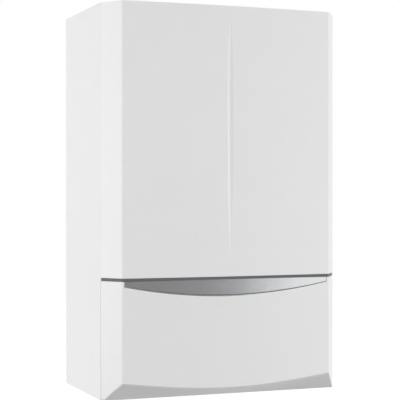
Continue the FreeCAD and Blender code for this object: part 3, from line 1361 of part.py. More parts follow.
def condensate_siphon():
    """Trap bowl with a screwed collar and the drain nozzle through the bottom plate."""
    neck = WASTE_R + WASTE_WALL
    shoulder = SIPHON_H * 0.8
    ring = SIPHON_H * 0.25
    outlet = SIPHON_Z - STUB_LOW
    barb = STUB_THREAD - outlet
    stem = DRAIN_R - WASTE_WALL / 2
    profile = [(0, -outlet), (DRAIN_R, -outlet), (DRAIN_R, barb), (stem, barb), (stem, 0)]
    profile += [(SIPHON_R, 4), (SIPHON_R, ring)]
    profile += [(SIPHON_R + 3, ring), (SIPHON_R + 3, ring + 16), (SIPHON_R, ring + 16)]
    profile += [(SIPHON_R, shoulder), (neck, SIPHON_H - 8), (neck, SIPHON_H), (0, SIPHON_H)]
    body = turned(profile, (DRAIN_X, CONN_Y, SIPHON_Z), Z_AXIS)
    return body.cut(rod((DRAIN_X, CONN_Y, STUB_LOW), Z_AXIS, DRAIN_R - WASTE_WALL, outlet))


def build():
    """All nodes by name."""
    right_panel = side_panel()
    pieces = {
        "wall_bracket": wall_bracket(),
        "back_frame": back_frame(),
        "left_side_panel": mirrored(right_panel),
        "right_side_panel": right_panel,
        "top_panel": top_panel(),
        "bottom_plate": bottom_plate(),
        "chamber_floor": chamber_floor(),
        "front_cover": front_cover(),
        "cover_clips": cover_clips(),
        "cover_gasket": cover_gasket(),
        "gap_trim": gap_trim(),
        "flap_panel": flap_panel(),
        "flap_grip_insert": flap_grip_insert(),
        "flap_bottom_trim": flap_bottom_trim(),
        "hinge_brackets": hinge_brackets(),
        "hinge_pins": hinge_pins(),
        "flap_strikes": flap_strikes(),
        "flap_catches": flap_catches(),
        "control_box": control_box(),
        "control_fascia": control_fascia(),
        "display_window": display_window(),
        "display_module": display_module(),
        "main_board": main_board(),
        "heating_knob": knob(KNOB_XS[0]),
        "hot_water_knob": knob(KNOB_XS[1]),
        "gauge_body": gauge_body(),
        "gauge_needle": gauge_needle(),
        "gauge_lens": gauge_lens(),
        "cable_glands": cable_glands(),
        "exchanger_shell": exchanger_shell(),
        "exchanger_coil": exchanger_coil(),
        "burner_tube": burner_tube(),
        "burner_door": burner_door(),
        "door_nuts": door_nuts(),
        "electrodes": group([electrode(side) for side in (-1, 1)]),
        "fan_housing": fan_housing(),
        "fan_impeller": fan_impeller(),
        "fan_motor": fan_motor(),
        "venturi": venturi(),
        "gas_valve": gas_valve(),
        "gas_pipe": gas_pipe(),
        "mixture_duct": mixture_duct(),
        "flue_duct": flue_duct(),
        "flue_adaptor": flue_adaptor(),
        "flow_pipe": flow_pipe(),
        "flow_manifold": flow_manifold(),
        "safety_valve": safety_valve(),
        "safety_cap": safety_cap(),
        "pump_body": pump_body(),
        "pump_impeller": pump_impeller(),
        "pump_motor": pump_motor(),
        "return_pipe": return_pipe(),
        "expansion_vessel": expansion_vessel(),
        "vessel_pipe": vessel_pipe(),
        "condensate_pipe": condensate_pipe(),
        "condensate_siphon": condensate_siphon(),
    }
    for number, x in enumerate(button_places(), 1):
        pieces["button_" + str(number)] = button(x)
    return pieces


os.makedirs("parts", exist_ok=True)
for node, solid in build().items():
    save(node, solid)
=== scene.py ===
"""Looks of the wall-hung condensing boiler: finishes, small fittings, marks, studio and camera."""
import math

import bmesh
import bpy
from mathutils import Matrix, Vector


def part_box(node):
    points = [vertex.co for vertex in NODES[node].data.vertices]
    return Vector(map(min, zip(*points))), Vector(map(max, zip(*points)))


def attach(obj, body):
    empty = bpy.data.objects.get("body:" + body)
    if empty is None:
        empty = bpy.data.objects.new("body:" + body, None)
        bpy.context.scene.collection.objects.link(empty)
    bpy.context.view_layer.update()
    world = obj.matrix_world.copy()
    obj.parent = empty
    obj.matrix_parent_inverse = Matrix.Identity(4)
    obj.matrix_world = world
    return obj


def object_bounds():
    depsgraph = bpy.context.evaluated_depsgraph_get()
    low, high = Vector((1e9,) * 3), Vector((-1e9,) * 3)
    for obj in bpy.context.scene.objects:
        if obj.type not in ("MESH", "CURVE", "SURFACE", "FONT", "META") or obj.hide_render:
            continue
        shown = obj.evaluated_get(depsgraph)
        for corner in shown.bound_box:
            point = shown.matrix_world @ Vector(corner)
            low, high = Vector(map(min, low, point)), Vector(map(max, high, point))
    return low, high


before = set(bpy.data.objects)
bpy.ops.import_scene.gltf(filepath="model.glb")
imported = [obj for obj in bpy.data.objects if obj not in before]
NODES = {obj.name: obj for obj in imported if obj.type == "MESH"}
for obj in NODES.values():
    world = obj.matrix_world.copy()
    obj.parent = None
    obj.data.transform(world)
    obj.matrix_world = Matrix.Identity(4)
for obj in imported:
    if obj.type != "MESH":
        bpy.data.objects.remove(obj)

CAD_BOX = [list(corner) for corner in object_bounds()]
FINISHES = {}               # materials by name
MM = 0.001

# Camera, from a fit to the straight edges in the photograph
CAMERA_AT = (-1.1416, -3.0561, -0.3785)
CAMERA_TURN = -21.186       # degrees about the upright axis
LENS = 114.83
SENSOR = 36.0
SHIFT_X = 0.0176
SHIFT_Y = -0.0091

# Directions
OUT = (0, -1, 0)            # out of the front
BACK = (0, 1, 0)
UP = (0, 0, 1)
DOWN = (0, 0, -1)
RIGHT = (1, 0, 0)

# Small fittings and marks
DIGITS = {0: "abcdef", 1: "bc", 2: "abged", 3: "abgcd", 4: "fgbc", 6: "afgedc"}     # lit bars, of seven
DIGIT_GAP = 0.6             # bars stop this far short of the corners, in strokes
PIPE_BORE = 11.05 * MM      # nuts fit round the 22 mm pipes
DRUM_R = 125 * MM           # outer radius of the exchanger's drum
MARK_T = 0.15 * MM          # printed marks stand this far off their surface
SCREW_R = 4 * MM            # panel screws' heads
STAR = 0.78                 # a lobed ring's hollows, as a share of its radius
MARK_RING = ((0, 0), (0, 0.15), (-0.8, 0.15), (-0.8, 0))    # ring sections are in mm from a radius

# Knobs
SCALE_START = 225           # degrees
SCALE_STEP = 27
SCALE_TICKS = 11
SCALE_GAP = 3 * MM
LONG_TICK = 5 * MM
SHORT_TICK = 3 * MM
TICK_W = 1 * MM
POINTER_RUN = (0.3, 0.82)   # shares of the knob's radius
POINTER_W = 1.6 * MM
KNOB_RIBS = 36
KNOB_RIB = ((0.7 * MM, 0), (0.7 * MM, 4.6 * MM), (0.3 * MM, 5.2 * MM))
KNOB_CLEAR = 0.8 * MM       # ribs start this far off the fascia
RIB_SEAT = 0.995            # share of the knob's radius

# Buttons and display
SIGN_REACH = 3 * MM
SIGN_W = 0.9 * MM
SIGN_RING_R = 2.9 * MM
TRIANGLE_W = 0.8 * MM
FIGURES = ((6, 0.3), (0, 0.5))      # digit and place across the display
FIGURE_RISE = 18 * MM
FIGURE_SIZE = (15 * MM, 30 * MM, 3 * MM)    # width, height and stroke
LEVEL_BARS = 8
LEVEL_RISE = 8 * MM
LEVEL_START = 14 * MM
LEVEL_STEP = 13 * MM
LEVEL_LONG = 8 * MM
LEVEL_W = 2.4 * MM
LAMP_RING_R = 2.6 * MM
LAMP_RING_AT = 0.72         # place across the display
LAMP_RING_DROP = 14 * MM

# Gauge
NEEDLE_REACH = 17 * MM
DIAL_SINK = 6 * MM          # dial behind the fascia's face
DIAL_START = 210            # degrees
DIAL_STEP = 15
DIAL_TICKS = 17
DIAL_R = 24 * MM
NUMBERED_TICK = (19.5 * MM, 0.9 * MM)       # inner radius and width
PLAIN_TICK = (21.5 * MM, 0.5 * MM)
NUMBER_R = 14.5 * MM
NUMBER_SIZE = (2.2 * MM, 3.8 * MM, 0.6 * MM)
BEZEL = ((0, 0.2), (0, 2.9), (1.6, 2.9), (1.2, 1.0))

# Fascia
FASCIA_INSET = 14 * MM
FASCIA_TOP_INSET = 30 * MM
WINDOW_EDGE = 3 * MM
WINDOW_LIFT = (1.0 * MM, 0.6 * MM)          # outer and inner edge

# Pipes: nuts by bore, flats and height, stubs by pipe, thread radius in mm, finish and slot
PIPE_NUT = (PIPE_BORE, 15.5 * MM, 16 * MM)
PIPE_NUT_AT = (2 * MM, 18 * MM)             # up from the pipe's foot and down from its top
VESSEL_NUT = (5 * MM, 8.5 * MM, 11 * MM)
VESSEL_NUT_AT = (1 * MM, 12 * MM)           # back from the pipe's front and down from its top
STUBS = {
    "flow_manifold": ("flow_pipe", 16.6, "brass", "copper_brass"),
    "pump_body": ("return_pipe", 16.6, "cast_iron", "cast_iron"),
    "gas_pipe": ("gas_pipe", 13.2, "brass", "copper_brass"),
}
THREAD_ENDS = ((-0.4, 0.4), (-0.4, 10.4))
THREAD_RIDGE = ((0.05, 0.8), (0.35, 1.9), (0.05, 3.0))
THREAD_PITCH = 2.3
THREAD_TURNS = 4
GROMMETS = (("gas_pipe", 11.2), ("condensate_pipe", 11.2), ("flow_pipe", 13.2), ("return_pipe", 13.2))
GROMMET = ((0, -0.6), (7, -0.6), (6, 2.2), (0, 2.8))
GROMMET_SINK = 0.5 * MM
CLIP_INSET = 14 * MM
CLIP_BAND = ((0, -4), (0.7, -4), (0.7, 4), (0, 4))
CLIP_HALF = (6 * MM, 4.5 * MM)              # half width and height of the worm's housing
CLIP_DEPTH = (4 * MM, 0.3 * MM)
CLIP_SCREW_R = 3 * MM
CLIP_SCREW_OUT = 2.2 * MM

# Straps round the drum
STRAP_AT = (0.13, 0.36)     # shares of the drum's length
STRAP_BAND = ((0, -7), (1, -7), (1, 7), (0, 7))
STRAP_HOUSING = ((2, -12), (-2, -12), (-9, -6), (-9, 6), (-2, 12), (2, 12))
STRAP_HALF = 5 * MM
STRAP_SCREW = (5 * MM, 10 * MM)             # out from the drum, and to either side

# Top panel, flue flange and bottom plate
FLANGE_T = 3 * MM
FLANGE_SCREWS_R = 76 * MM
TEST_CAPS_R = 74 * MM
TEST_CAP = ((8 * MM, 0), (8 * MM, 2 * MM), (6.5 * MM, 2 * MM), (6.5 * MM, 9 * MM), (5.5 * MM, 10 * MM))
TOP_INSET = (16 * MM, 40 * MM)
BOTTOM_INSET = (30 * MM, 50 * MM)

# Back frame and flap
BEAD_X = (-0.2, 0.0, 0.2)
BEAD_FOOT = 60 * MM         # lower beads start this far up the frame
BEAD_BREAK = (-0.44, -0.38)
BEAD_TOP = -0.1
BEAD_HALF = 9 * MM
BEAD_DEEP = 4 * MM
BEAD_STEPS = 6
FRAME_T = 1.5 * MM
FLAP_RIBS = 4               # to either side of the middle one
FLAP_RIB_PITCH = 52 * MM
FLAP_RIB_HALF = 0.9 * MM
FLAP_RIB_DEPTH = (-0.8 * MM, 7 * MM)
FLAP_RIB_INSET = (34 * MM, 46 * MM)         # from the foot and the top
FLAP_T = 2.6 * MM
FLAP_BOW = 10 * MM
FLAP_HALF = 0.258

# Motors, valve and vessel; the boxes' ends lie in from these edges of their motors
PUMP_BOX = {"left": 8 * MM, "right": 10 * MM, "rear": 14 * MM, "front": -6 * MM, "middle": 4 * MM,
            "top": 4 * MM}
FAN_BOX = {"half": 14 * MM, "rear": 8 * MM, "front": -5 * MM, "foot": 8 * MM, "top": 10 * MM}
NIPPLE = ((4 * MM, 0), (4 * MM, 5 * MM), (2.5 * MM, 5 * MM), (2.5 * MM, 12 * MM), (1.6 * MM, 13 * MM))
NIPPLE_SIDE = 22 * MM
NIPPLE_FORWARD = 26 * MM
STEM = ((7 * MM, 0), (7 * MM, 3 * MM), (4.5 * MM, 3 * MM), (4.5 * MM, 16 * MM), (3.5 * MM, 17 * MM))
STEM_Y = -0.096
PUMP_CAP_R = 9 * MM
FAN_CAP_R = 8 * MM

# Grain of the finishes
CLOUD_SCALE = 9.0           # clouds of colour per metre
CLOUD_DETAIL = 3.0
CLOUD_RAMP = (0.3, 0.7)     # darkest up to the first, lightest from the second
GRAIN_DETAIL = 2.0
GRAIN_DEPTH = 1 * MM
GLOSS_SPREAD = 0.06         # roughness runs this far either side of its level

# Groove in the cover
GROOVE_SKIN = 0.1 * MM      # thickness of the soft hollow, and how near the face its lips lie
GROOVE_REACH = 9 * MM       # lips lie within this of the middle
GROOVE_SHARE = 0.65         # depth of the soft hollow as a share of the cut one
GROOVE_CURVE = 1.25         # near 1 the hollow is a plain V, near 2 a round one
GROOVE_AXIS = 2.4 * MM      # axis of the cut hollow in front of the face
GROOVE_STEPS = 12           # across each half
GROOVE_LIFT = 0.01 * MM

# Section of the dark strip of painted shadow in the finger grip, out from the foot of its rear
SHADOW_STRIP_OUTLINE = ((0.2 * MM, -0.2 * MM), (-0.5 * MM, -0.2 * MM), (-0.5 * MM, 0.8 * MM), (0.2 * MM, 1.6 * MM))
SHADOW_STRIP_CLEAR = 5 * MM         # the grip's top edge is left out of its foot
SHADOW_STRIP_BEHIND = -339.6 * MM   # the grip's front rim lies before this, its rear behind
SHADOW_STRIP_REAR = -0.9            # normals of the grip's rear and of its ledge
SHADOW_STRIP_LEDGE = 0.7

# Edge rounding on the solids and on the new pieces
EDGE_WELD = 0.02 * MM
EDGE_ROUND = 0.6 * MM
EDGE_ANGLE = math.radians(40)
PIECE_ROUND = 0.15 * MM
PIECE_ANGLE = math.radians(35)
ROUND_STEPS = 2
PLAIN_EDGES = ("wall_bracket", "back_frame", "flap_grip_insert")     # thin parts whose edges stay sharp

# Studio
FLOOR_DROP = 0.35           # floor below the lowest connection
FLOOR_SIZE = 14.0
FLOOR_COLOUR = (0.75, 0.75, 0.75, 1)
FLOOR_ROUGH = 0.9
FLOOR_GLOW = {"From Min": 0.6, "From Max": 2.4, "To Min": 0.46, "To Max": 0.62}     # by distance
WORLD_LIGHT = 0.5
WHITE = (1, 1, 1, 1)
BLACK = (0, 0, 0, 1)
LAMP_AIM = Vector((0, -0.17, -0.39))
LAMPS = {                   # place, size, power and whether reflections show it
    "left_lamp": ((-3.0, 0.5, -0.15), 2.0, 38.0, True),
    "right_lamp": ((3.4, -1.65, -0.4), 1.8, 37.5, False),
    "edge_lamp": ((3.3, -1.6, -0.4), 1.75, 12.5, True),
    "front_lamp": ((-0.9, -3.7, -0.4), 1.6, 30.0, True),
}
CARD_Y = -2.0               # grey card that the polished insert mirrors
CARD_SPAN = (-0.9, 0.795)
CARD_RISE = (-1.19, -0.35)
CARD_LEVEL = 0.205


def material(name, colour, rough, metal=0.0, grain=900.0, bump=0.02, mottle=0.03, alpha=1.0):
    """Procedural finish: mottled colour, uneven gloss and a fine surface grain. It is kept under its name."""
    made = bpy.data.materials.new(name)
    made.use_nodes = True
    tree = made.node_tree
    shader = tree.nodes["Principled BSDF"]
    place = tree.nodes.new("ShaderNodeTexCoord")
    cloud = noise(tree, place, CLOUD_SCALE, CLOUD_DETAIL)
    fine = noise(tree, place, grain, GRAIN_DETAIL)
    tint = tree.nodes.new("ShaderNodeValToRGB")
    ramp = zip(tint.color_ramp.elements, (1.0 - mottle, 1.0 + mottle), CLOUD_RAMP)
    for stop, factor, position in ramp:
        stop.color = shade(colour, factor)
        stop.position = position
    tree.links.new(cloud.outputs["Fac"], tint.inputs["Fac"])
    tree.links.new(tint.outputs["Color"], shader.inputs["Base Color"])
    gloss = tree.nodes.new("ShaderNodeMapRange")
    gloss.inputs["To Min"].default_value = rough - GLOSS_SPREAD
    gloss.inputs["To Max"].default_value = rough + GLOSS_SPREAD
    tree.links.new(fine.outputs["Fac"], gloss.inputs["Value"])
    tree.links.new(gloss.outputs["Result"], shader.inputs["Roughness"])
    relief = tree.nodes.new("ShaderNodeBump")
    relief.inputs["Strength"].default_value = bump
    relief.inputs["Distance"].default_value = GRAIN_DEPTH
    tree.links.new(fine.outputs["Fac"], relief.inputs["Height"])
    tree.links.new(relief.outputs["Normal"], shader.inputs["Normal"])
    shader.inputs["Metallic"].default_value = metal
    shader.inputs["Alpha"].default_value = alpha
    FINISHES[name] = made


def noise(tree, place, scale, detail):
    """Noise texture in the object's own space, per metre."""
    node = tree.nodes.new("ShaderNodeTexNoise")
    node.inputs["Scale"].default_value = scale
    node.inputs["Detail"].default_value = detail
    tree.links.new(place.outputs["Object"], node.inputs["Vector"])
    return node


def shade(colour, factor):
    """Colour made lighter or darker, with full alpha."""
    return [min(channel * factor, 1.0) for channel in colour] + [1.0]


def make_finishes():
    """Every finish on the boiler, outside first."""
    material("white_coat", (0.80, 0.80, 0.80), 0.38, grain=700.0, bump=0.05, mottle=0.006)
    material("white_moulding", (0.79, 0.79, 0.79), 0.36, grain=1200.0, bump=0.02, mottle=0.006)
    material("silver", (0.76, 0.77, 0.785), 0.17, metal=1.0, grain=1500.0, bump=0.03, mottle=0.03)
    material("band_grey", (0.565, 0.565, 0.565), 0.36, grain=1100.0, bump=0.04, mottle=0.02)
    material("gap_grey", (0.11, 0.11, 0.115), 0.55, grain=1100.0, bump=0.05)
    # painted shadow: the dark grey of the strip along the finger grip's lower edge
    material("painted_shadow_grey", (0.17, 0.17, 0.175), 0.6, grain=900.0, bump=0.05)
    material("zinc", (0.55, 0.56, 0.57), 0.38, metal=0.9, grain=140.0, bump=0.03, mottle=0.12)
    material("rubber", (0.03, 0.03, 0.03), 0.7, grain=900.0, bump=0.1, mottle=0.1)
    material("panel_grey", (0.56, 0.57, 0.58), 0.5, grain=1600.0, bump=0.12, mottle=0.02)
    material("dark_moulding", (0.06, 0.06, 0.065), 0.45, grain=1500.0, bump=0.1, mottle=0.06)
    material("button_grey", (0.17, 0.18, 0.19), 0.5, grain=1400.0, bump=0.08, mottle=0.05)
    material("display", (0.20, 0.30, 0.26), 0.3, grain=600.0, bump=0.01)
    material("board", (0.02, 0.12, 0.05), 0.4, grain=300.0, bump=0.15, mottle=0.2)
    material("dial_white", (0.85, 0.85, 0.83), 0.45, grain=900.0, bump=0.02, mottle=0.02)
    material("red", (0.55, 0.02, 0.015), 0.35, grain=900.0, bump=0.04, mottle=0.05)
    material("stainless", (0.58, 0.57, 0.55), 0.28, metal=1.0, grain=260.0, bump=0.05, mottle=0.08)
    material("composite", (0.035, 0.035, 0.037), 0.55, grain=700.0, bump=0.2, mottle=0.12)
    material("cast_aluminium", (0.50, 0.50, 0.51), 0.5, metal=0.85, grain=450.0, bump=0.3, mottle=0.1)
    material("flue_white", (0.74, 0.74, 0.72), 0.45, grain=900.0, bump=0.05, mottle=0.02)
    material("copper", (0.62, 0.27, 0.15), 0.3, metal=1.0, grain=120.0, bump=0.03, mottle=0.18)
    material("brass", (0.60, 0.42, 0.18), 0.33, metal=1.0, grain=400.0, bump=0.08, mottle=0.12)
    material("cast_iron", (0.04, 0.045, 0.05), 0.5, grain=350.0, bump=0.4, mottle=0.15)
    material("vessel_red", (0.42, 0.03, 0.02), 0.4, grain=500.0, bump=0.08, mottle=0.06)
    material("trap_grey", (0.60, 0.61, 0.62), 0.45, grain=900.0, bump=0.05, mottle=0.03)
    material("clear", (0.30, 0.32, 0.33), 0.1, bump=0.002, mottle=0.01, alpha=0.14)
    material("mark", (0.02, 0.02, 0.022), 0.6, grain=900.0, bump=0.02, mottle=0.05)
    material("mark_white", (0.82, 0.82, 0.82), 0.6, grain=900.0, bump=0.02, mottle=0.03)


NODE_FINISH = {
    "white_coat": ("front_cover", "left_side_panel", "right_side_panel", "top_panel"),
    "white_moulding": ("flap_panel",),
    "silver": ("flap_grip_insert",),
    "band_grey": ("flap_bottom_trim",),
    "gap_grey": ("gap_trim",),
    "zinc": ("wall_bracket", "back_frame", "bottom_plate", "chamber_floor", "hinge_brackets", "hinge_pins",
             "flap_strikes", "cover_clips", "door_nuts"),
    "rubber": ("cover_gasket",),
    "panel_grey": ("control_box", "control_fascia"),
    "dark_moulding": ("heating_knob", "hot_water_knob", "cable_glands", "flap_catches"),
    "button_grey": ("button_1", "button_2", "button_3", "button_4"),
    "display": ("display_module",),
    "board": ("main_board",),
    "dial_white": ("gauge_body",),
    "red": ("gauge_needle", "safety_cap"),
    "stainless": ("exchanger_coil", "burner_tube", "electrodes"),
    "composite": ("exchanger_shell", "fan_motor", "pump_motor"),
    "cast_aluminium": ("burner_door", "fan_housing", "venturi", "gas_valve", "mixture_duct", "fan_impeller"),
    "flue_white": ("flue_duct", "flue_adaptor", "pump_impeller"),
    "copper": ("gas_pipe", "flow_pipe", "return_pipe", "vessel_pipe"),
    "brass": ("flow_manifold", "safety_valve"),
    "cast_iron": ("pump_body",),
    "vessel_red": ("expansion_vessel",),
    "trap_grey": ("condensate_siphon", "condensate_pipe"),
    "clear": ("display_window", "gauge_lens"),
}


def dress_nodes():
    """Give every CAD node its finish, and soften the edges of those not in PLAIN_EDGES a little."""
    for finish, names in NODE_FINISH.items():
        for name in names:
            data = NODES[name].data
            data.materials.clear()
            data.materials.append(FINISHES[finish])
            if name not in PLAIN_EDGES:
                soften(NODES[name])


def soften(node):
    """Small rounded edges that catch the light; the shared corners are joined first."""
    weld = node.modifiers.new("weld", "WELD")
    weld.merge_threshold = EDGE_WELD
    edge = node.modifiers.new("edge", "BEVEL")
    edge.width = EDGE_ROUND
    edge.segments = ROUND_STEPS
    edge.limit_method = "ANGLE"
    edge.angle_limit = EDGE_ANGLE
    flat = node.modifiers.new("flat", "WEIGHTED_NORMAL")
    flat.weight = 100


def piece(name, bm, finish, body):
    """New mesh piece that rides on a CAD body."""
    bmesh.ops.recalc_face_normals(bm, faces=bm.faces)
    mesh = bpy.data.meshes.new(name)
    bm.to_mesh(mesh)
    bm.free()
    mesh.materials.append(FINISHES[finish])
    obj = bpy.data.objects.new(name, mesh)
    bpy.context.scene.collection.objects.link(obj)
    mesh.shade_smooth()
    edge = obj.modifiers.new("edge", "BEVEL")
    edge.width = PIECE_ROUND
    edge.segments = ROUND_STEPS
    edge.limit_method = "ANGLE"
    edge.angle_limit = PIECE_ANGLE
    edge.harden_normals = True
    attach(obj, body)


def place_along(at, axis):
    """Matrix that stands a shape made along Z on a point, along an axis."""
    return Matrix.Translation(at) @ Vector(axis).to_track_quat("Z", "Y").to_matrix().to_4x4()


def add_ring(bm, points, matrix):
    """Closed ring of new vertices."""
    return [bm.verts.new(matrix @ Vector(point)) for point in points]


def join_rings(bm, rings):
    """Quads between neighbouring rings."""
    for low, high in zip(rings, rings[1:]):
        count = len(low)
        for i in range(count):
            bm.faces.new((low[i], low[(i + 1) % count], high[(i + 1) % count], high[i]))


def cap_ends(bm, rings):
    """Faces over the first and the last ring."""
    bm.faces.new(reversed(rings[0]))
    bm.faces.new(rings[-1])


def add_lathe(bm, profile, at, axis, sides=32, lobes=()):
    """Turned shape from (radius, height) pairs; the rings numbered in lobes are star-shaped."""
    matrix = place_along(at, axis)
    rings = []
    for number, (radius, height) in enumerate(profile):
        ring = []
        for i in range(sides):
            turn = 2 * math.pi * i / sides
            hollow = number in lobes and i % 4 > 1
            reach = radius * (STAR if hollow else 1.0)
            ring.append((reach * math.cos(turn), reach * math.sin(turn), height))
        rings.append(add_ring(bm, ring, matrix))
    join_rings(bm, rings)
    return rings


def add_solid_lathe(bm, profile, at, axis, sides=32, lobes=()):
    """Turned shape closed at both ends."""
    rings = add_lathe(bm, profile, at, axis, sides, lobes)
    cap_ends(bm, rings)


def add_hollow_lathe(bm, profile, at, axis, sides=32):
    """Turned shape whose profile closes on itself round a bore."""
    rings = add_lathe(bm, profile, at, axis, sides)
    join_rings(bm, [rings[-1], rings[0]])


def add_box(bm, low, high):
    """Box between two corners."""
    corners = [(x, y, z) for z in (low[2], high[2]) for x, y in
               ((low[0], low[1]), (high[0], low[1]), (high[0], high[1]), (low[0], high[1]))]
    verts = [bm.verts.new(corner) for corner in corners]
    bm.faces.new(reversed(verts[:4]))
    bm.faces.new(verts[4:])
    join_rings(bm, [verts[:4], verts[4:]])


def add_prism(bm, outline, x0, x1):
    """Closed prism along X over an outline of (y, z) points."""
    ends = [[bm.verts.new((x, y, z)) for y, z in outline] for x in (x0, x1)]
    bm.faces.new(ends[0])
    bm.faces.new(ends[1])
    for k in range(len(outline)):
        n = (k + 1) % len(outline)
        bm.faces.new((ends[0][k], ends[0][n], ends[1][n], ends[1][k]))


def add_terminal_box(bm, x0, x1, back, front, low, high):
    """Small terminal box: chamfered body, overhanging lid with two screws and a cable gland below."""
    edge = 3 * MM
    lip = 1 * MM
    inset = 4 * MM
    lid = front + 4 * MM
    body = [(back, low), (lid, low), (lid, high - edge), (lid + edge, high), (back, high)]
    add_prism(bm, body, x0, x1)
    cover = [(lid, low - lip), (front + lip, low - lip), (front, low), (front, high - edge),
             (front + lip, high + lip), (lid, high + lip)]
    add_prism(bm, cover, x0 - lip, x1 + lip)
    mid = (low + high) / 2
    for x in (x0 + inset, x1 - inset):
        add_screw(bm, (x, front, mid), OUT, SCREW_R / 2)
    gland = [(4.5 * MM, 0), (4.5 * MM, 3 * MM), (3.5 * MM, 4 * MM), (3.5 * MM, 8 * MM), (2.6 * MM, 9.5 * MM)]
    add_solid_lathe(bm, gland, ((x0 + x1) / 2, (lid + back) / 2, low), DOWN, 24)


def add_bar(bm, start, end, width, y0, y1):
    """Flat bar on an upright face, between two (x, z) points."""
    along = Vector(end) - Vector(start)
    side = Vector((-along.y, along.x)).normalized() * width / 2
    outline = [Vector(start) + side, Vector(start) - side, Vector(end) - side, Vector(end) + side]
    front = [bm.verts.new((point.x, y0, point.y)) for point in outline]
    rear = [bm.verts.new((point.x, y1, point.y)) for point in outline]
    bm.faces.new(front)
    bm.faces.new(reversed(rear))
    join_rings(bm, [front, rear])


def add_screw(bm, at, axis, radius):
    """Pan head with a six-lobed recess."""
    shares = ((1, 0), (1, 0.35), (0.85, 0.52), (0.5, 0.62), (0.46, 0.2))
    profile = [(across * radius, up * radius) for across, up in shares]
    add_solid_lathe(bm, profile, at, axis, 24, (3, 4))


def add_nut(bm, at, axis, bore, flats, height):
    """Chamfered hexagon union nut round a pipe."""
    matrix = place_along(at, axis)
    edge = flats / math.cos(math.pi / 6)
    chamfer = 0.12 * height
    levels = [(0.9, 0), (1.0, chamfer), (1.0, height - chamfer), (0.9, height)]
    sections = [(edge * share, level) for share, level in levels] + [(bore, height), (bore, 0)]
    turns = [math.pi / 3 * i for i in range(6)]
    rings = []
    for reach, level in sections:
        corners = [(reach * math.cos(turn), reach * math.sin(turn), level) for turn in turns]
        rings.append(add_ring(bm, corners, matrix))
    join_rings(bm, rings + rings[:1])


def add_digit(bm, digit, corner, width, height, stroke, y0, y1):
    """Seven-bar digit on an upright face, from its lower left corner."""
    left, low = corner
    right, mid, top = left + width, low + height / 2, low + height
    bars = {"a": ((left, top), (right, top)), "b": ((right, mid), (right, top)),
            "c": ((right, low), (right, mid)), "d": ((left, low), (right, low)),
            "e": ((left, low), (left, mid)), "f": ((left, mid), (left, top)),
            "g": ((left, mid), (right, mid))}
    for key in DIGITS[digit]:
        start, end = (Vector(point) for point in bars[key])
        trim = (end - start).normalized() * stroke * DIGIT_GAP
        add_bar(bm, start + trim, end - trim, stroke, y0, y1)


def middle(node):
    """Centre of a CAD node's box."""
    low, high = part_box(node)
    return (low + high) / 2


def section(radius, outline):
    """Ring section: an outline in mm, laid out from a radius."""
    return [(radius + out * MM, along * MM) for out, along in outline]


def knob_dressing(node):
    """Scale printed round a knob, a pointer on its grip and ribs round its rim."""
    low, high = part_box(node)
    centre = middle(node)
    hub = Vector((centre.x, centre.z))
    rim = (high.x - low.x) / 2
    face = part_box("control_fascia")[0].y
    inner = rim + SCALE_GAP
    scale = bmesh.new()
    for i in range(SCALE_TICKS):
        turn = math.radians(SCALE_START - SCALE_STEP * i)
        spoke = Vector((math.cos(turn), math.sin(turn)))
        outer = inner + (LONG_TICK if i % 5 == 0 else SHORT_TICK)
        add_bar(scale, hub + spoke * inner, hub + spoke * outer, TICK_W, face - MARK_T, face)
    piece(node + "_scale", scale, "mark", "casing")
    pointer = bmesh.new()
    start, end = (Vector((centre.x, centre.z + rim * share)) for share in POINTER_RUN)
    add_bar(pointer, start, end, POINTER_W, low.y - MARK_T, low.y)
    piece(node + "_pointer", pointer, "mark_white", node)
    ribs = bmesh.new()
    ring = rim * RIB_SEAT
    for i in range(KNOB_RIBS):
        turn = 2 * math.pi * i / KNOB_RIBS
        spot = (centre.x + ring * math.cos(turn), face - KNOB_CLEAR, centre.z + ring * math.sin(turn))
        add_solid_lathe(ribs, KNOB_RIB, spot, OUT, 8)
    piece(node + "_ribs", ribs, "dark_moulding", node)


def button_marks():
    """Plain signs on the four buttons: plus, minus, ring and triangle."""
    across = Vector((SIGN_REACH, 0))
    upright = Vector((0, SIGN_REACH))
    corners = [Vector((SIGN_REACH * math.cos(turn), SIGN_REACH * math.sin(turn)))
               for turn in (math.pi / 2, math.pi * 7 / 6, math.pi * 11 / 6)]
    signs = {
        "button_1": ([(-across, across), (-upright, upright)], SIGN_W),
        "button_2": ([(-across, across)], SIGN_W),
        "button_3": ([], SIGN_W),
        "button_4": (list(zip(corners, corners[1:] + corners[:1])), TRIANGLE_W),
    }
    for node, (strokes, width) in signs.items():
        centre = middle(node)
        hub = Vector((centre.x, centre.z))
        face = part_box(node)[0].y
        sign = bmesh.new()
        for start, end in strokes:
            add_bar(sign, hub + start, hub + end, width, face - MARK_T, face)
        if not strokes:
            add_hollow_lathe(sign, section(SIGN_RING_R, MARK_RING), (centre.x, face, centre.z), OUT, 32)
        piece(node + "_mark", sign, "mark_white", node)


def display_marks():
    """Figures, a row of bars and a small ring on the display."""
    low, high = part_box("display_module")
    face = low.y
    width = high.x - low.x
    figures = bmesh.new()
    for digit, share in FIGURES:
        corner = (low.x + width * share, low.z + FIGURE_RISE)
        add_digit(figures, digit, corner, *FIGURE_SIZE, face - MARK_T, face)
    z = low.z + LEVEL_RISE
    for i in range(LEVEL_BARS):
        x = low.x + LEVEL_START + LEVEL_STEP * i
        add_bar(figures, Vector((x, z)), Vector((x + LEVEL_LONG, z)), LEVEL_W, face - MARK_T, face)
    spot = (low.x + width * LAMP_RING_AT, face, high.z - LAMP_RING_DROP)
    add_hollow_lathe(figures, section(LAMP_RING_R, MARK_RING), spot, OUT, 24)
    piece("display_figures", figures, "mark", "casing")


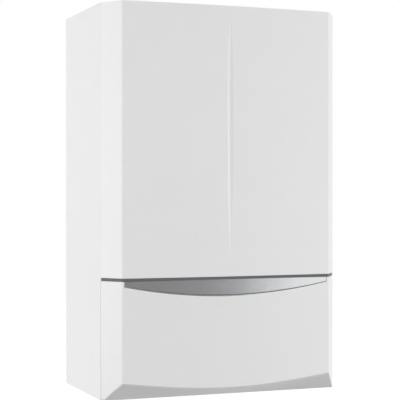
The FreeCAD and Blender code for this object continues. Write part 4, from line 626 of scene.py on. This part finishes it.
def gauge_marks():
    """Ticks and plain numbers on the gauge's dial, and a dark ring round its cup."""
    low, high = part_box("gauge_body")
    centre = middle("gauge_body")
    hub = Vector((centre.x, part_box("gauge_needle")[1].z - NEEDLE_REACH))
    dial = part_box("control_fascia")[0].y + DIAL_SINK
    corner = Vector(NUMBER_SIZE[:2]) / 2
    marks = bmesh.new()
    for i in range(DIAL_TICKS):
        turn = math.radians(DIAL_START - DIAL_STEP * i)
        spoke = Vector((math.cos(turn), math.sin(turn)))
        numbered = i % 4 == 0
        inner, width = NUMBERED_TICK if numbered else PLAIN_TICK
        add_bar(marks, hub + spoke * inner, hub + spoke * DIAL_R, width, dial - MARK_T, dial)
        if numbered:
            spot = hub + spoke * NUMBER_R - corner
            add_digit(marks, i // 4, (spot.x, spot.y), *NUMBER_SIZE, dial - MARK_T, dial)
    piece("gauge_marks", marks, "mark", "casing")
    bezel = bmesh.new()
    profile = section((high.x - low.x) / 2, BEZEL)
    add_hollow_lathe(bezel, profile, (centre.x, low.y, hub.y), BACK, 64)
    piece("gauge_bezel", bezel, "dark_moulding", "casing")


def fascia_dressing():
    """Corner screws of the fascia and a raised frame round the display window."""
    low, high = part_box("control_fascia")
    screws = bmesh.new()
    for x in (low.x + FASCIA_INSET, high.x - FASCIA_INSET):
        for z in (low.z + FASCIA_INSET, high.z - FASCIA_TOP_INSET):
            add_screw(screws, (x, low.y, z), OUT, SCREW_R)
    piece("fascia_screws", screws, "zinc", "casing")
    surround = bmesh.new()
    outer = window_outline(WINDOW_EDGE)
    inner = window_outline(0)
    outer_lift, inner_lift = WINDOW_LIFT
    rings = []
    for outline, lift in ((outer, 0), (outer, outer_lift), (inner, inner_lift), (inner, 0)):
        rings.append([surround.verts.new((x, low.y - lift, z)) for x, z in outline])
    join_rings(surround, rings + rings[:1])
    piece("window_frame", surround, "dark_moulding", "casing")


def window_outline(edge):
    """Corners of the display, let out by an edge."""
    low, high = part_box("display_module")
    left, right = low.x - edge, high.x + edge
    foot, top = low.z - edge, high.z + edge
    return [(left, foot), (right, foot), (right, top), (left, top)]


def union_nuts():
    """Brass union nuts where the pipes meet the valve, manifold, pump and drum."""
    nuts = bmesh.new()
    rise, drop = PIPE_NUT_AT
    for pipe in ("flow_pipe", "return_pipe", "gas_pipe"):
        low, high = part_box(pipe)
        centre = middle(pipe)
        add_nut(nuts, (centre.x, centre.y, high.z - drop), UP, *PIPE_NUT)
        if pipe != "gas_pipe":
            add_nut(nuts, (centre.x, centre.y, low.z + rise), UP, *PIPE_NUT)
    low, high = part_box("vessel_pipe")
    radius = VESSEL_NUT[0]
    back, drop = VESSEL_NUT_AT
    add_nut(nuts, (low.x + radius, high.y - radius, high.z - drop), UP, *VESSEL_NUT)
    add_nut(nuts, (high.x - radius, low.y + back, low.z + radius), BACK, *VESSEL_NUT)
    piece("union_nuts", nuts, "brass", "casing")


def stub_threads():
    """Thread ridges on the male connections under the casing."""
    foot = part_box("flow_manifold")[0].z
    y = middle("flow_pipe").y
    ridges = [(out, along + THREAD_PITCH * i) for i in range(THREAD_TURNS) for out, along in THREAD_RIDGE]
    outline = [THREAD_ENDS[0]] + ridges + [THREAD_ENDS[1]]
    for node, (pipe, radius, finish, slot) in STUBS.items():
        thread = bmesh.new()
        add_hollow_lathe(thread, section(radius * MM, outline), (middle(pipe).x, y, foot), UP, 48)
        piece(node + "_thread", thread, finish, "casing")


def pipe_clips():
    """Worm-drive clips at the ends of the condensate pipe."""
    low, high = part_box("condensate_pipe")
    centre = middle("condensate_pipe")
    radius = (high.x - low.x) / 2
    near = centre.y - radius
    half_x, half_z = CLIP_HALF
    front, rear = CLIP_DEPTH
    clips = bmesh.new()
    for z in (low.z + CLIP_INSET, high.z - CLIP_INSET):
        add_hollow_lathe(clips, section(radius, CLIP_BAND), (centre.x, centre.y, z), UP, 40)
        add_box(clips, (centre.x - half_x, near - front, z - half_z),
                (centre.x + half_x, near - rear, z + half_z))
        add_screw(clips, (centre.x + half_x, near - CLIP_SCREW_OUT, z), RIGHT, CLIP_SCREW_R)
    piece("pipe_clips", clips, "stainless", "casing")


def drum_straps():
    """Clamped steel straps round the exchanger's drum."""
    low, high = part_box("exchanger_coil")
    hub = middle("exchanger_coil")
    near = hub.y - DRUM_R
    housing = [(near + out * MM, hub.z + rise * MM) for out, rise in STRAP_HOUSING]
    screw_out, screw_side = STRAP_SCREW
    straps = bmesh.new()
    for share in STRAP_AT:
        x = low.x + (high.x - low.x) * share
        add_hollow_lathe(straps, section(DRUM_R, STRAP_BAND), (x, hub.y, hub.z), RIGHT, 96)
        add_prism(straps, housing, x - STRAP_HALF, x + STRAP_HALF)
        for side in (-1, 1):
            spot = (x, near - screw_out, hub.z + side * screw_side)
            add_screw(straps, spot, (0, 0, side), SCREW_R)
    piece("drum_straps", straps, "stainless", "casing")


def flange_spot(degrees, radius):
    """Place on top of the flue collar's flange."""
    centre = middle("flue_adaptor")
    turn = math.radians(degrees)
    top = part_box("top_panel")[1].z + FLANGE_T
    return centre.x + radius * math.cos(turn), centre.y + radius * math.sin(turn), top


def add_corner_screws(bm, node, inset, z, axis):
    """Screws near the four corners of a level plate."""
    low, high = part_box(node)
    inset_x, inset_y = inset
    for x in (low.x + inset_x, high.x - inset_x):
        for y in (low.y + inset_y, high.y - inset_y):
            add_screw(bm, (x, y, z), axis, SCREW_R)


def flue_dressing():
    """Screws and two capped test points on the flue collar's flange, and the top panel's screws."""
    screws = bmesh.new()
    for degrees in (45, 135, 225, 315):
        add_screw(screws, flange_spot(degrees, FLANGE_SCREWS_R), UP, SCREW_R)
    add_corner_screws(screws, "top_panel", TOP_INSET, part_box("top_panel")[1].z, UP)
    piece("top_screws", screws, "zinc", "casing")
    caps = bmesh.new()
    for degrees in (180, 0):
        add_solid_lathe(caps, TEST_CAP, flange_spot(degrees, TEST_CAPS_R), UP, 32, (2, 3))
    piece("test_caps", caps, "dark_moulding", "casing")


def bottom_dressing():
    """Grommets round the pipes and screws along the bottom plate's edge."""
    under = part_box("bottom_plate")[0].z
    y = middle("flow_pipe").y
    rings = bmesh.new()
    for pipe, radius in GROMMETS:
        spot = (middle(pipe).x, y, under + GROMMET_SINK)
        add_hollow_lathe(rings, section(radius * MM, GROMMET), spot, UP, 48)
    piece("pipe_grommets", rings, "rubber", "casing")
    screws = bmesh.new()
    add_corner_screws(screws, "bottom_plate", BOTTOM_INSET, under, DOWN)
    piece("bottom_screws", screws, "zinc", "casing")


def groove_lips():
    """Rounded lips of the cover's pressed groove: a soft hollow inside the cut one."""
    low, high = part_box("front_cover")
    lips = {}
    for vertex in NODES["front_cover"].data.vertices:
        x, y, z = vertex.co
        on_face = y < low.y + GROOVE_SKIN
        if on_face and GROOVE_SKIN < x < GROOVE_REACH and low.z + GROOVE_REACH < z < high.z - GROOVE_REACH:
            lips[round(z, 4)] = x
    hollow = bmesh.new()
    rings = []
    for z, half in sorted(lips.items()):
        depth = GROOVE_SHARE * (math.hypot(half, GROOVE_AXIS) - GROOVE_AXIS)
        front = []
        for k in range(-GROOVE_STEPS, GROOVE_STEPS + 1):
            share = k / GROOVE_STEPS
            sink = depth * (1 - abs(share) ** GROOVE_CURVE)
            front.append((half * share, low.y + sink + GROOVE_LIFT, z))
        rear = [(x, y + GROOVE_SKIN, z) for x, y, z in reversed(front)]
        rings.append([hollow.verts.new(point) for point in front + rear])
    join_rings(hollow, rings)
    cap_ends(hollow, rings)
    piece("groove_lips", hollow, "white_coat", "cover")


def grip_painted_shadow():
    """Dark strip along the foot of the finger grip's rear: painted shadow under the grip's lower edge, no
    real bead.
    """
    mesh = NODES["flap_grip_insert"].data
    rear, ledge = set(), set()
    for face in mesh.polygons:
        corners = {tuple(round(value, 5) for value in mesh.vertices[i].co) for i in face.vertices}
        if face.normal.y < SHADOW_STRIP_REAR:
            rear |= corners
        if face.normal.z > SHADOW_STRIP_LEDGE:
            ledge |= corners
    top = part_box("flap_grip_insert")[1].z - SHADOW_STRIP_CLEAR
    foot = sorted(point for point in rear & ledge if point[2] < top and point[1] > SHADOW_STRIP_BEHIND)
    shadow_strip = bmesh.new()
    rings = []
    for x, y, z in foot:
        rings.append([shadow_strip.verts.new((x, y + dy, z + dz)) for dy, dz in SHADOW_STRIP_OUTLINE])
    join_rings(shadow_strip, rings)
    cap_ends(shadow_strip, rings)
    piece("grip_painted_shadow", shadow_strip, "painted_shadow_grey", "flap")


def back_beads():
    """Stiffening beads pressed in the back frame, seen from the wall side."""
    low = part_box("back_frame")[0]
    plate = low.y + FRAME_T
    beads = bmesh.new()
    for x in BEAD_X:
        for z0, z1 in ((low.z + BEAD_FOOT, BEAD_BREAK[0]), (BEAD_BREAK[1], BEAD_TOP)):
            rows = []
            for k in range(BEAD_STEPS + 1):
                turn = math.pi * k / BEAD_STEPS
                side = x - BEAD_HALF * math.cos(turn)
                rise = BEAD_DEEP * math.sin(turn)
                rows.append([beads.verts.new((side, plate + rise, z0 + rise)),
                             beads.verts.new((side, plate + rise, z1 - rise))])
            for a, b in zip(rows, rows[1:]):
                beads.faces.new((a[0], a[1], b[1], b[0]))
            beads.faces.new([row[0] for row in rows])
            beads.faces.new([row[1] for row in reversed(rows)])
    piece("back_beads", beads, "zinc", "casing")


def flap_ribs():
    """Moulded ribs behind the flap's face."""
    low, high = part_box("flap_panel")
    front, rear = FLAP_RIB_DEPTH
    foot, top = FLAP_RIB_INSET
    ribs = bmesh.new()
    for i in range(-FLAP_RIBS, FLAP_RIBS + 1):
        x = i * FLAP_RIB_PITCH
        y = low.y + FLAP_T + FLAP_BOW * (x / FLAP_HALF) ** 2
        add_box(ribs, (x - FLAP_RIB_HALF, y + front, low.z + foot),
                (x + FLAP_RIB_HALF, y + rear, high.z - top))
    piece("flap_ribs", ribs, "white_moulding", "flap")


def machine_details():
    """Terminal boxes and caps on the motors, test nipples and the vessel's valve."""
    pump_low, pump_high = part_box("pump_motor")
    pump = middle("pump_motor")
    fan_low, fan_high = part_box("fan_motor")
    fan = middle("fan_motor")
    boxes = bmesh.new()
    add_terminal_box(boxes, pump_low.x + PUMP_BOX["left"], pump_high.x - PUMP_BOX["right"],
                     pump_low.y + PUMP_BOX["rear"], pump_low.y + PUMP_BOX["front"],
                     pump.z + PUMP_BOX["middle"], pump_high.z - PUMP_BOX["top"])
    add_terminal_box(boxes, fan.x - FAN_BOX["half"], fan.x + FAN_BOX["half"],
                     fan_low.y + FAN_BOX["rear"], fan_low.y + FAN_BOX["front"],
                     fan_low.z + FAN_BOX["foot"], fan_high.z - FAN_BOX["top"])
    piece("terminal_boxes", boxes, "dark_moulding", "casing")
    caps = bmesh.new()
    add_screw(caps, (pump_high.x, pump.y, pump.z), RIGHT, PUMP_CAP_R)
    add_screw(caps, (fan.x, fan.y, fan_high.z), UP, FAN_CAP_R)
    gas = middle("gas_pipe")
    valve_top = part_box("gas_valve")[1].z
    for side in (-NIPPLE_SIDE, NIPPLE_SIDE):
        add_solid_lathe(caps, NIPPLE, (gas.x + side, gas.y - NIPPLE_FORWARD, valve_top), UP, 24)
    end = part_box("expansion_vessel")[1].x
    add_solid_lathe(caps, STEM, (end, STEM_Y, middle("expansion_vessel").z), RIGHT, 24)
    piece("caps_and_nipples", caps, "brass", "casing")


def studio():
    """White surroundings, a pale floor that keeps the shadow, soft lamps and a grey card."""
    bpy.context.scene.view_settings.view_transform = "Standard"
    white_world()
    pale_floor()
    for name, values in LAMPS.items():
        lamp(name, *values)
    grey_card()


def white_world():
    """Surroundings that show white and light the part more softly."""
    world = bpy.data.worlds.new("studio")
    bpy.context.scene.world = world
    world.use_nodes = True
    tree = world.node_tree
    sky = tree.nodes["Background"]
    sky.inputs["Color"].default_value = WHITE
    level = tree.nodes.new("ShaderNodeMapRange")
    level.inputs["To Min"].default_value = WORLD_LIGHT
    level.inputs["To Max"].default_value = 1.0
    tree.links.new(shown_rays(tree), level.inputs["Value"])
    tree.links.new(level.outputs["Result"], sky.inputs["Strength"])


def pale_floor():
    """Floor that glows enough to run into the white and keeps the part's shadow."""
    floor_z = CAD_BOX[0][2] - FLOOR_DROP
    half = FLOOR_SIZE / 2
    corners = [(x, y, floor_z) for x, y in ((-half, -half), (half, -half), (half, half), (-half, half))]
    floor, shader = add_plane("floor", corners, "floor_pale")
    shader.inputs["Base Color"].default_value = FLOOR_COLOUR
    shader.inputs["Roughness"].default_value = FLOOR_ROUGH
    tree = shader.id_data
    place = tree.nodes.new("ShaderNodeTexCoord")
    away = tree.nodes.new("ShaderNodeVectorMath")
    away.operation = "DISTANCE"
    away.inputs[1].default_value = (0, 0, floor_z)
    tree.links.new(place.outputs["Object"], away.inputs[0])
    fade = tree.nodes.new("ShaderNodeMapRange")
    for socket, value in FLOOR_GLOW.items():
        fade.inputs[socket].default_value = value
    tree.links.new(away.outputs["Value"], fade.inputs["Value"])
    glow = tree.nodes.new("ShaderNodeMath")
    glow.operation = "MULTIPLY"
    tree.links.new(shown_rays(tree), glow.inputs[0])
    tree.links.new(fade.outputs["Result"], glow.inputs[1])
    shader.inputs["Emission Color"].default_value = WHITE
    tree.links.new(glow.outputs["Value"], shader.inputs["Emission Strength"])


def add_plane(name, corners, finish):
    """Four-cornered plane with a material of its own, and that material's shader."""
    mesh = bpy.data.meshes.new(name)
    mesh.from_pydata(corners, [], [(0, 1, 2, 3)])
    plane = bpy.data.objects.new(name, mesh)
    bpy.context.scene.collection.objects.link(plane)
    made = bpy.data.materials.new(finish)
    made.use_nodes = True
    mesh.materials.append(made)
    return plane, made.node_tree.nodes["Principled BSDF"]


def shown_rays(tree):
    """One for the rays that show the background: straight, mirrored or through glass."""
    path = tree.nodes.new("ShaderNodeLightPath")
    found = path.outputs["Is Camera Ray"]
    for name in ("Is Glossy Ray", "Is Transmission Ray"):
        either = tree.nodes.new("ShaderNodeMath")
        either.operation = "MAXIMUM"
        tree.links.new(found, either.inputs[0])
        tree.links.new(path.outputs[name], either.inputs[1])
        found = either.outputs["Value"]
    return found


def grey_card():
    """Grey card behind the camera that only polished surfaces mirror."""
    low_x, high_x = CARD_SPAN
    low_z, high_z = CARD_RISE
    outline = ((low_x, low_z), (high_x, low_z), (high_x, high_z), (low_x, high_z))
    corners = [(x, CARD_Y, z) for x, z in outline]
    card, shader = add_plane("grey_card", corners, "card_grey")
    shader.inputs["Base Color"].default_value = BLACK
    shader.inputs["Emission Color"].default_value = WHITE
    shader.inputs["Emission Strength"].default_value = CARD_LEVEL
    card.visible_camera = False
    card.visible_diffuse = False
    card.visible_shadow = False
    card.visible_transmission = False


def lamp(name, place, size, power, mirrored):
    """Square soft lamp that faces the middle of the casing."""
    data = bpy.data.lights.new(name, "AREA")
    data.size = size
    data.energy = power
    obj = bpy.data.objects.new(name, data)
    obj.location = place
    obj.visible_glossy = mirrored
    obj.rotation_euler = (LAMP_AIM - Vector(place)).to_track_quat("-Z", "Y").to_euler()
    bpy.context.scene.collection.objects.link(obj)


def camera():
    """Level camera at the photograph's angle."""
    data = bpy.data.cameras.new("camera")
    data.lens = LENS
    data.sensor_width = SENSOR
    data.shift_x = SHIFT_X
    data.shift_y = SHIFT_Y
    obj = bpy.data.objects.new("camera", data)
    obj.location = CAMERA_AT
    obj.rotation_euler = (math.radians(90), 0, math.radians(CAMERA_TURN))
    bpy.context.scene.collection.objects.link(obj)
    bpy.context.scene.camera = obj


make_finishes()
dress_nodes()
knob_dressing("heating_knob")
knob_dressing("hot_water_knob")
button_marks()
display_marks()
gauge_marks()
fascia_dressing()
union_nuts()
stub_threads()
pipe_clips()
drum_straps()
flue_dressing()
bottom_dressing()
groove_lips()
grip_painted_shadow()
back_beads()
flap_ribs()
machine_details()
studio()
camera()
